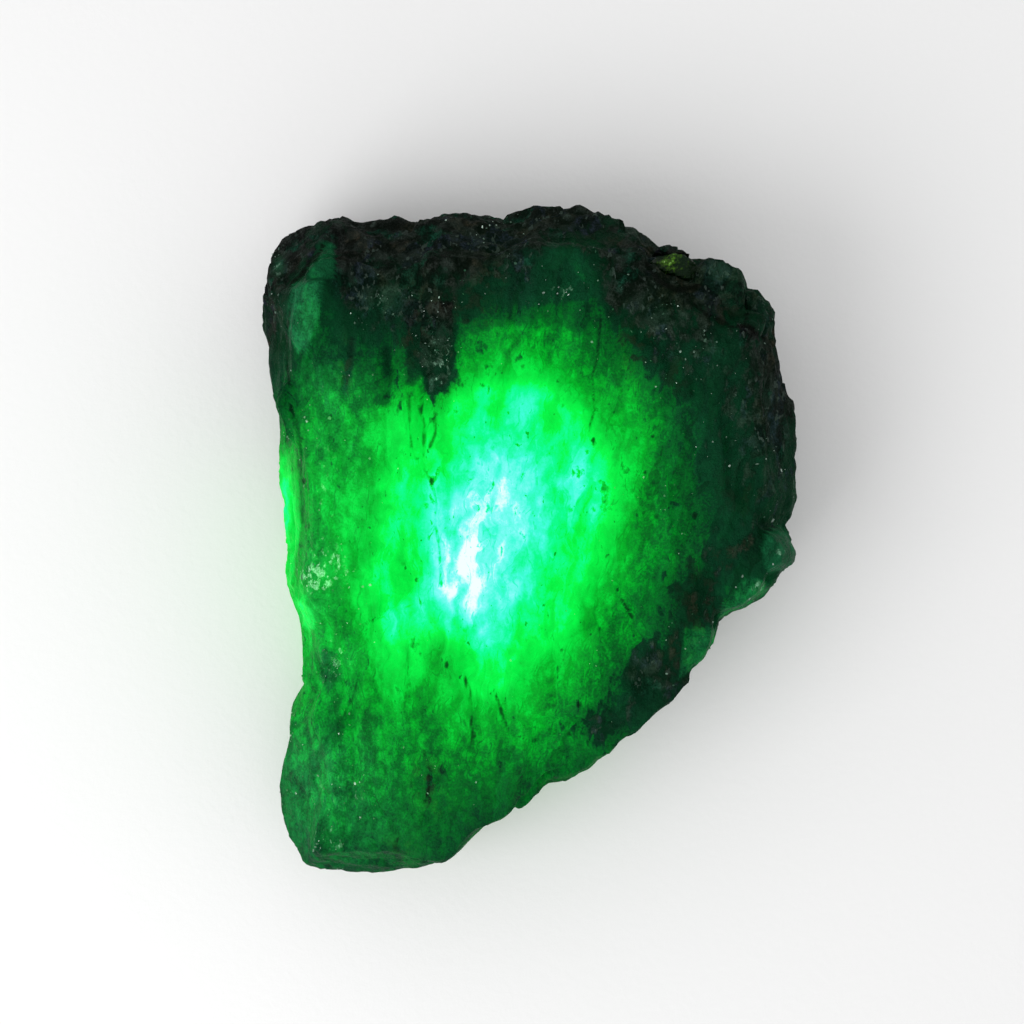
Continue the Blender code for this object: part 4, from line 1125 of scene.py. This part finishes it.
def emerald_material(settings):
    """Clouded beryl with its rind: colour, roughness, light and bump all follow the fibres."""
    material, tree, shader = new_material("Rough emerald")
    fibres = use_group(tree, shared_group("Beryl fibres", fibre_group))
    rind = {"Cover": painted(tree, "rind_cover"), "Rind": (*settings.rind_colour, 1)}
    rind.update({name: fibres[name] for name in RIND_GRAIN})
    rind = use_group(tree, shared_group("Mica rind", rind_group), rind)
    ragged = weighed(tree, -0.30, (fibres["Fibre"], 0.3), (fibres["Sugar"], 0.3))
    vein = spread(tree, maths(tree, "ADD", painted(tree, "vein"), ragged), 0.26, 0.98)
    glow = {"Light": painted(tree, "lamp_light"), "Shade": rind["Shade"], "Vein": vein}
    glow.update({name: fibres[name] for name in LIGHT_GRAIN})
    glow = use_group(tree, shared_group("Light through beryl", lamp_group), glow)
    # Painted glow: the lamp's light through the stone and its bare light under the slanting edge, given as
    # emission.
    put(tree, shader["Emission Color"], mixed(tree, painted(tree, "leak"), glow["Color"], LEAK_COLOUR))
    shader["Emission Strength"].default_value = settings.lamp_strength

    colour = mixed(tree, fibres["Plate"], (*settings.beryl_deep, 1), (*settings.beryl_light, 1))
    colour = mixed(tree, rind["Mask"], colour, rind["Color"])
    uneven = weighed(tree, 0.1, (fibres["Cloud"], 0.45), (fibres["Sugar"], 0.65), (fibres["Grit"], 0.3))
    haze = times(tree, painted(tree, "haze"), uneven, clamp=True)
    colour = mixed(tree, haze, colour, (*settings.haze_colour, 1))
    rust = spread(tree, fibres["Sugar"], 0.25, 0.75)
    rust = times(tree, times(tree, painted(tree, "rust"), rust), 0.7, clamp=True)
    colour = mixed(tree, rust, colour, (*settings.rust_colour, 1))
    lumps = spread(tree, fibres["Sugar"], 0.25, 0.95)
    lumps = weighed(tree, 0.10, (lumps, 0.75), (fibres["Crumb"], 0.95))
    sugar = spread(tree, times(tree, painted(tree, "sugar"), lumps), 0.20, 0.95)
    sugar = times(tree, sugar, spread(tree, fibres["Grit"], 0.0, 1.0, 0.45, 1.0))
    sugar = times(tree, sugar, weighed(tree, 1.0, (rind["Mask"], -0.65)))
    colour = mixed(tree, sugar, colour, (*settings.sugar_colour, 1))
    colour = mixed(tree, times(tree, vein, 0.85), colour, CRACK_COLOUR)
    put(tree, shader["Base Color"], colour)
    rough = spread(tree, fibres["Sugar"], 0.0, 1.0, 0.45, 0.70)
    put(tree, shader["Roughness"], weighed(tree, rough, (rind["Mask"], 0.15)))
    shader["Specular IOR Level"].default_value = 0.02
    shader["IOR"].default_value = 1.58

    height = (fibres["Crumb"], 0.35), (fibres["Grit"], 0.22), (painted(tree, "vein"), -0.5)
    put(tree, shader["Normal"], bumped(tree, weighed(tree, fibres["Sugar"], *height), 0.9))
    return material


def mica_material(settings):
    """Mica flakes: silky plates, some bright and most dim, that let some of the lamp's light through."""
    material, tree, shader = new_material("Mica flakes")
    place = in_millimetres(tree)
    silk = noise(tree, place, 6.0, 2.0)
    glow = {"Light": painted(tree, "lamp_light"), "Fibre": silk, **MICA_GRAIN}
    glow = use_group(tree, shared_group("Light through beryl", lamp_group), glow)
    # Painted glow, as in the stone.
    put(tree, shader["Emission Color"], glow["Color"])
    shader["Emission Strength"].default_value = 1.0
    # Painted glint: each flake's base colour is made paler by its drawn glint, so a few flakes look lit.
    bright = times(tree, painted(tree, "glint"), spread(tree, silk, 0.35, 0.60, 0.5, 1.0))
    put(tree, shader["Base Color"], mixed(tree, bright, MICA_DIM, (*settings.mica_colour, 1)))
    put(tree, shader["Roughness"], spread(tree, silk, 0.3, 0.7, 0.25, 0.40))
    shader["Metallic"].default_value = 0.5
    return material


def olive_material(settings):
    """Olive grain: dark green glass with a crackled yellow-green cloud on its upper left, partly its own clouding
    and partly a painted highlight.
    """
    material, tree, shader = new_material("Olive grain")
    place = in_millimetres(tree)
    away = add_node(tree, "VectorMath", {0: place, 1: OLIVE_CLOUD_AND_HIGHLIGHT}, operation="DISTANCE").outputs["Value"]
    rough = noise(tree, place, 1.7, 5.0, 0.72)
    cloud = weighed(tree, -0.62, (rough, 3.4), (away, -0.42))
    middling = tuple(0.25 * part for part in settings.olive_light)
    colour = mixed(tree, spread(tree, cloud, 0.62, 0.95), (*settings.olive_deep, 1), (*middling, 1))
    colour = mixed(tree, spread(tree, cloud, 0.98, 1.30), colour, (*settings.olive_light, 1))
    colour = mixed(tree, spread(tree, cloud, 1.30, 1.45), colour, OLIVE_PALE_HIGHLIGHT)
    put(tree, shader["Base Color"], colour)
    put(tree, shader["Roughness"], spread(tree, rough, 0.35, 0.65, 0.25, 0.45))
    shader["Specular IOR Level"].default_value = 0.10
    put(tree, shader["Normal"], bumped(tree, rough, 0.8))
    return material


class RoughStoneSettings(bpy.types.PropertyGroup):
    """Colours and amounts of the stone that a user would change."""

    beryl_deep: FloatVectorProperty(
        name="Beryl, deep", description="Colour of the beryl where it is clear and deep",
        default=(0.0008, 0.012, 0.0050), min=0, max=1, subtype="COLOR",
    )  # fmt: skip
    beryl_light: FloatVectorProperty(
        name="Beryl, light", description="Colour of the beryl where its sheets lie open",
        default=(0.0018, 0.026, 0.0110), min=0, max=1, subtype="COLOR",
    )  # fmt: skip
    haze_colour: FloatVectorProperty(
        name="Clouding", description="Colour of the pale, sugary clouding",
        default=(0.011, 0.125, 0.050), min=0, max=1, subtype="COLOR",
    )  # fmt: skip
    sugar_colour: FloatVectorProperty(
        name="Sugar", description="Colour of the pale, sugary break",
        default=(0.26, 0.50, 0.34), min=0, max=1, subtype="COLOR",
    )  # fmt: skip
    rust_colour: FloatVectorProperty(
        name="Stain", description="Colour of the brown stain",
        default=(0.0155, 0.0140, 0.0075), min=0, max=1, subtype="COLOR",
    )  # fmt: skip
    rind_colour: FloatVectorProperty(
        name="Rind", description="Colour of the dark mica rind",
        default=(0.0072, 0.0080, 0.0076), min=0, max=1, subtype="COLOR",
    )  # fmt: skip
    lamp_strength: FloatProperty(
        name="Lamp", description="Strength of the light that comes through the stone",
        default=1.0, min=0, soft_max=3,
    )  # fmt: skip


class MicaSettings(bpy.types.PropertyGroup):
    """Mica flakes on the stone."""

    mica_colour: FloatVectorProperty(
        name="Mica", description="Colour of the palest mica flakes",
        default=(0.42, 0.52, 0.46), min=0, max=1, subtype="COLOR",
    )  # fmt: skip
    flake_count: IntProperty(
        name="Scattered flakes", description="Flakes scattered over the whole stone",
        default=260, min=0, max=5000,
    )  # fmt: skip
    flake_width: FloatProperty(
        name="Flake width", description="Width of a middling flake",
        default=0.00013, min=0.00002, max=0.002, unit="LENGTH",
    )  # fmt: skip


class OliveSettings(bpy.types.PropertyGroup):
    """The olive grain in its pocket."""

    # The grain's bright yellow-green cloud is partly a painted highlight.
    olive_light: FloatVectorProperty(
        name="Olive, light", description="Colour of the grain's bright yellow-green cloud",
        default=(0.10, 0.27, 0.018), min=0, max=1, subtype="COLOR",
    )  # fmt: skip
    olive_deep: FloatVectorProperty(
        name="Olive, deep", description="Colour of the rest of the grain",
        default=(0.0016, 0.0125, 0.0022), min=0, max=1, subtype="COLOR",
    )  # fmt: skip


class StageSettings(bpy.types.PropertyGroup):
    """Floor, light and camera."""

    floor_colour: FloatVectorProperty(
        name="Floor", description="Colour of the paper floor",
        default=(0.84, 0.84, 0.84), min=0, max=1, subtype="COLOR",
    )  # fmt: skip
    key_power: FloatProperty(
        name="Soft light", description="Power of the large soft light", default=0.44, min=0, unit="POWER",
    )  # fmt: skip
    sky_strength: FloatProperty(
        name="Room light", description="Strength of the even light of the room", default=1.09, min=0,
    )  # fmt: skip


class STONE_OT_emerald(bpy.types.Operator):
    """Build the rough emerald with its rind, cracks and lit core"""

    bl_idname = "raw_emerald.stone"
    bl_label = "Emerald"

    def execute(self, context):
        directions, faces = cube_sphere(STONE_SQUARES)
        points = stone_points(directions)
        mesh = mesh_from("emerald", points, faces)
        give_attributes(
            mesh,
            lamp_light=lamp_light(points),
            rind_cover=bells(points, RIND) + on_facets(points, COVER),
            haze=bells(points, HAZE) + on_facets(points, CLOUDING),
            sugar=bells(points, SUGAR),
            rust=bells(points, RUST),
            vein=vein_darkness(points),
            leak=lamp_leak(points),
        )
        piece = add_piece("emerald", mesh, emerald_material(context.scene.rough_stone))
        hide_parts("raw_emerald")
        return {"FINISHED"}


class STONE_OT_mica(bpy.types.Operator):
    """Scatter thin mica flakes over the emerald"""

    bl_idname = "raw_emerald.mica"
    bl_label = "Mica flakes"

    def execute(self, context):
        stone = bpy.data.objects.get("emerald")
        if stone is None:
            raise RuntimeError("build the emerald before its mica flakes")
        settings = context.scene.mica
        points = np.empty(len(stone.data.vertices) * 3, dtype=np.float32)
        normals = np.empty_like(points)
        stone.data.vertices.foreach_get("co", points)
        stone.data.vertex_normals.foreach_get("vector", normals)
        points, normals = points.reshape(-1, 3) / MM, normals.reshape(-1, 3)

        draw = np.random.default_rng(FLAKE_SEED)
        chosen = [draw.integers(0, len(points), settings.flake_count)]
        upper = np.flatnonzero(normals[:, 2] > FLAKE_FACING)
        for x, y, reach, count in FLAKE_PATCHES:
            aim = np.array((x, y)) + draw.normal(0, reach, (count, 2))
            gap = ((points[upper][:, None, :2] - aim) ** 2).sum(axis=2)
            chosen.append(upper[gap.argmin(axis=0)])
        chosen = np.concatenate(chosen)
        chosen = chosen[(points[chosen, 2] > FLAKE_FOOT) & (lamp_light(points[chosen]) < FLAKE_LIGHT)]
        corners, faces = flake_points(points[chosen], normals[chosen], settings.flake_width / MM, draw)
        mesh = mesh_from("mica_flakes", corners, faces, smooth=False)
        glint = draw.uniform(*GLINTS, len(chosen)) ** GLINT_RARITY
        glint = np.repeat(glint, len(corners) // len(chosen))
        give_attributes(mesh, lamp_light=FLAKE_GLOW * lamp_light(corners), glint=glint)
        add_piece("mica_flakes", mesh, mica_material(settings))
        return {"FINISHED"}


def flake_points(places, normals, width, draw):
    """Corners and triangles of one thin six-sided plate at each place: two uneven rings of six corners and
    two middles, tilted off the surface by up to half a right angle and sunk a little into it."""
    count = len(places)
    leaning = normals + draw.normal(0, FLAKE_LEAN, (count, 3))
    up = leaning / np.linalg.norm(leaning, axis=1)[:, None]
    side = np.cross(up, draw.normal(0, 1, (count, 3)))
    side /= np.linalg.norm(side, axis=1)[:, None]
    other = np.cross(up, side)
    size = width * np.exp(draw.normal(0, FLAKE_SPREAD, count)) / 2
    stretch = draw.uniform(*FLAKE_STRETCH, count)
    uneven = draw.uniform(*FLAKE_RAGGEDNESS, (count, FLAKE_SIDES))
    step = np.arange(FLAKE_SIDES)
    turn = step * math.tau / FLAKE_SIDES
    ring = (
        side[:, None] * (np.cos(turn) * size[:, None] * uneven)[..., None]
        + other[:, None] * (np.sin(turn) * (size * stretch)[:, None] * uneven)[..., None]
    )
    thickness = np.minimum(size, FLAKE_THICKNESS)[:, None, None] * up[:, None]
    middle = places[:, None] + FLAKE_RISE * thickness
    rings = [middle + ring * 0.9 + thickness, middle + ring - thickness]
    corners = np.concatenate([*rings, middle + thickness, middle - thickness], axis=1)
    after = (step + 1) % FLAKE_SIDES
    below, after_below = step + FLAKE_SIDES, after + FLAKE_SIDES
    top_middle = np.full(FLAKE_SIDES, 2 * FLAKE_SIDES)
    top = np.stack((step, after, top_middle), axis=1)
    wall = np.stack((step, below, after), axis=1)
    wall_too = np.stack((after, below, after_below), axis=1)
    under = np.stack((after_below, below, top_middle + 1), axis=1)
    one = np.concatenate((top, wall, wall_too, under))
    faces = one[None] + corners.shape[1] * np.arange(count)[:, None, None]
    return corners.reshape(-1, 3), faces.reshape(-1, 3)


class STONE_OT_blocks(bpy.types.Operator):
    """Set the blocks of mica rind beside the olive grain"""

    bl_idname = "raw_emerald.blocks"
    bl_label = "Rind blocks"

    def execute(self, context):
        material = bpy.data.materials.get("Rough emerald")
        if material is None:
            raise RuntimeError("build the emerald before its rind blocks")
        directions, faces = cube_sphere(BLOCK_SQUARES)
        draw = np.random.default_rng(BLOCK_SEED)
        for name, (corners, top, foot, slope, cuts, cover, haze, rust) in RIND_BLOCKS.items():
            points, side = block_points(directions, corners, top, foot, slope, cuts)
            tone = draw.uniform(-1, 1, MOST_FACES)[side]
            relief = relief_from(points, BLOCK_RELIEF)
            points = points + directions * (relief - BLOCK_INSET)[:, None]
            mesh = mesh_from(name, points, faces)
            # Paler clouding towards the block's upper outer side is painted light; each face's tone is drawn at
            # random.
            clouding_and_painted_light = 1 + (points - points.mean(axis=0)) @ PAINTED_LIGHT_WAY - TONE_CLOUDING * tone
            none = np.zeros(len(points))
            give_attributes(
                mesh,
                lamp_light=BLOCK_GLOW * lamp_light(points),
                rind_cover=cover + TONE_COVER * tone,
                haze=haze * np.clip(clouding_and_painted_light, 0, MOST_CLOUDING) + bells(points, HAZE),
                sugar=bells(points, SUGAR),
                rust=rust + bells(points, RUST),
                vein=none,
                leak=none,
            )
            add_piece(name, mesh, material)
        return {"FINISHED"}


class STONE_OT_olive(bpy.types.Operator):
    """Set the olive grain in its pocket"""

    bl_idname = "raw_emerald.olive"
    bl_label = "Olive grain"

    def execute(self, context):
        directions, faces = cube_sphere(BLOCK_SQUARES)
        points, _ = block_points(directions, OLIVE_PLAN, OLIVE_TOP, OLIVE_FOOT, OLIVE_SLOPE, OLIVE_CUTS)
        relief = relief_from(points, OLIVE_RELIEF, grain=np.ones(3))
        mesh = mesh_from("olive_grain", points + directions * relief[:, None], faces, smooth=False)
        add_piece("olive_grain", mesh, olive_material(context.scene.olive))
        return {"FINISHED"}


def floor_material(settings):
    """Matt white paper with a faint cloudiness and a fine tooth."""
    material, tree, shader = new_material("Paper floor")
    place = in_millimetres(tree)
    cloud = noise(tree, place, 0.02, 3.0)
    tone = settings.floor_colour
    put(tree, shader["Base Color"], mixed(tree, cloud, tuple(0.985 * part for part in tone) + (1,), (*tone, 1)))
    shader["Roughness"].default_value = 0.9
    shader["Specular IOR Level"].default_value = 0.1
    put(tree, shader["Normal"], bumped(tree, noise(tree, place, 1.2, 5.0), 0.12))
    return material


class STONE_OT_stage(bpy.types.Operator):
    """Lay the paper floor and set the soft light, the room light and the camera"""

    bl_idname = "raw_emerald.stage"
    bl_label = "Stage"

    def execute(self, context):
        settings = context.scene.stage
        scene = context.scene
        step = np.linspace(-FLOOR_HALF, FLOOR_HALF, FLOOR_SQUARES + 1)
        x, y = np.meshgrid(step, step, indexing="ij")
        points = np.column_stack((x.ravel(), y.ravel(), np.zeros(x.size)))
        corner = (np.arange(FLOOR_SQUARES)[:, None] * (FLOOR_SQUARES + 1) + np.arange(FLOOR_SQUARES)).ravel()
        faces = np.stack((corner, corner + FLOOR_SQUARES + 1, corner + FLOOR_SQUARES + 2, corner + 1), axis=1)
        mesh = mesh_from("paper_floor", points, faces)
        mesh.materials.append(floor_material(settings))
        floor = bpy.data.objects.new("paper_floor", mesh)
        scene.collection.objects.link(floor)

        key = bpy.data.lights.new("soft_light", "AREA")
        key.shape, key.size = "DISK", SOFT_LIGHT_WIDTH
        key.energy = settings.key_power
        lamp = bpy.data.objects.new("soft_light", key)
        lamp.location = SOFT_LIGHT_PLACE
        lamp.rotation_euler = [math.radians(turn) for turn in SOFT_LIGHT_TURN]
        scene.collection.objects.link(lamp)

        world = bpy.data.worlds.new("Room")
        world.use_nodes = True
        tree = world.node_tree
        way = add_node(tree, "TexCoord").outputs["Generated"]
        rise = add_node(tree, "SeparateXYZ", {0: way}).outputs["Z"]
        back = add_node(tree, "VectorMath", {0: way, 1: ROOM_WAY}, operation="DOT_PRODUCT").outputs["Value"]
        strength = spread(tree, rise, 0.45, 0.97, settings.sky_strength, ROOM_SHADE * settings.sky_strength)
        strength = times(tree, strength, spread(tree, back, -0.7, 0.8, 1.12, 0.84))
        put(tree, tree.nodes["Background"].inputs["Color"], (1.0, 1.0, 1.0, 1))
        put(tree, tree.nodes["Background"].inputs["Strength"], strength)
        scene.world = world
        scene.view_settings.view_transform = "Standard"

        camera = bpy.data.cameras.new("camera")
        camera.lens, camera.sensor_width = LENS, SENSOR
        camera.clip_start, camera.clip_end = CLIP
        viewer = bpy.data.objects.new("camera", camera)
        viewer.location = (EYE[0] * MM, EYE[1] * MM, EYE_HEIGHT * MM)
        scene.collection.objects.link(viewer)
        scene.camera = viewer
        return {"FINISHED"}


STEPS = [STONE_OT_emerald, STONE_OT_mica, STONE_OT_blocks, STONE_OT_olive, STONE_OT_stage]
SETTINGS = {
    "rough_stone": RoughStoneSettings,
    "mica": MicaSettings,
    "olive": OliveSettings,
    "stage": StageSettings,
}


class STONE_PT_sidebar(bpy.types.Panel):
    """Lists the stone's settings and the steps that build it"""

    bl_idname = "STONE_PT_sidebar"
    bl_label = "Raw emerald"
    bl_space_type = "VIEW_3D"
    bl_region_type = "UI"
    bl_category = "Raw emerald"

    def draw(self, context):
        for name in SETTINGS:
            column = self.layout.column()
            settings = getattr(context.scene, name)
            for field in settings.bl_rna.properties:
                if field.identifier not in ("rna_type", "name"):
                    column.prop(settings, field.identifier)
        for step in STEPS:
            self.layout.operator(step.bl_idname)


def register():
    for kind in (*SETTINGS.values(), *STEPS, STONE_PT_sidebar):
        bpy.utils.register_class(kind)
    for name, kind in SETTINGS.items():
        setattr(bpy.types.Scene, name, PointerProperty(type=kind))


def unregister():
    for name in SETTINGS:
        delattr(bpy.types.Scene, name)
    for kind in (STONE_PT_sidebar, *reversed(STEPS), *reversed(SETTINGS.values())):
        bpy.utils.unregister_class(kind)


def main():
    register()
    bpy.ops.raw_emerald.stone()
    bpy.ops.raw_emerald.mica()
    bpy.ops.raw_emerald.blocks()
    bpy.ops.raw_emerald.olive()
    bpy.ops.raw_emerald.stage()


if __name__ == "__main__":
    main()
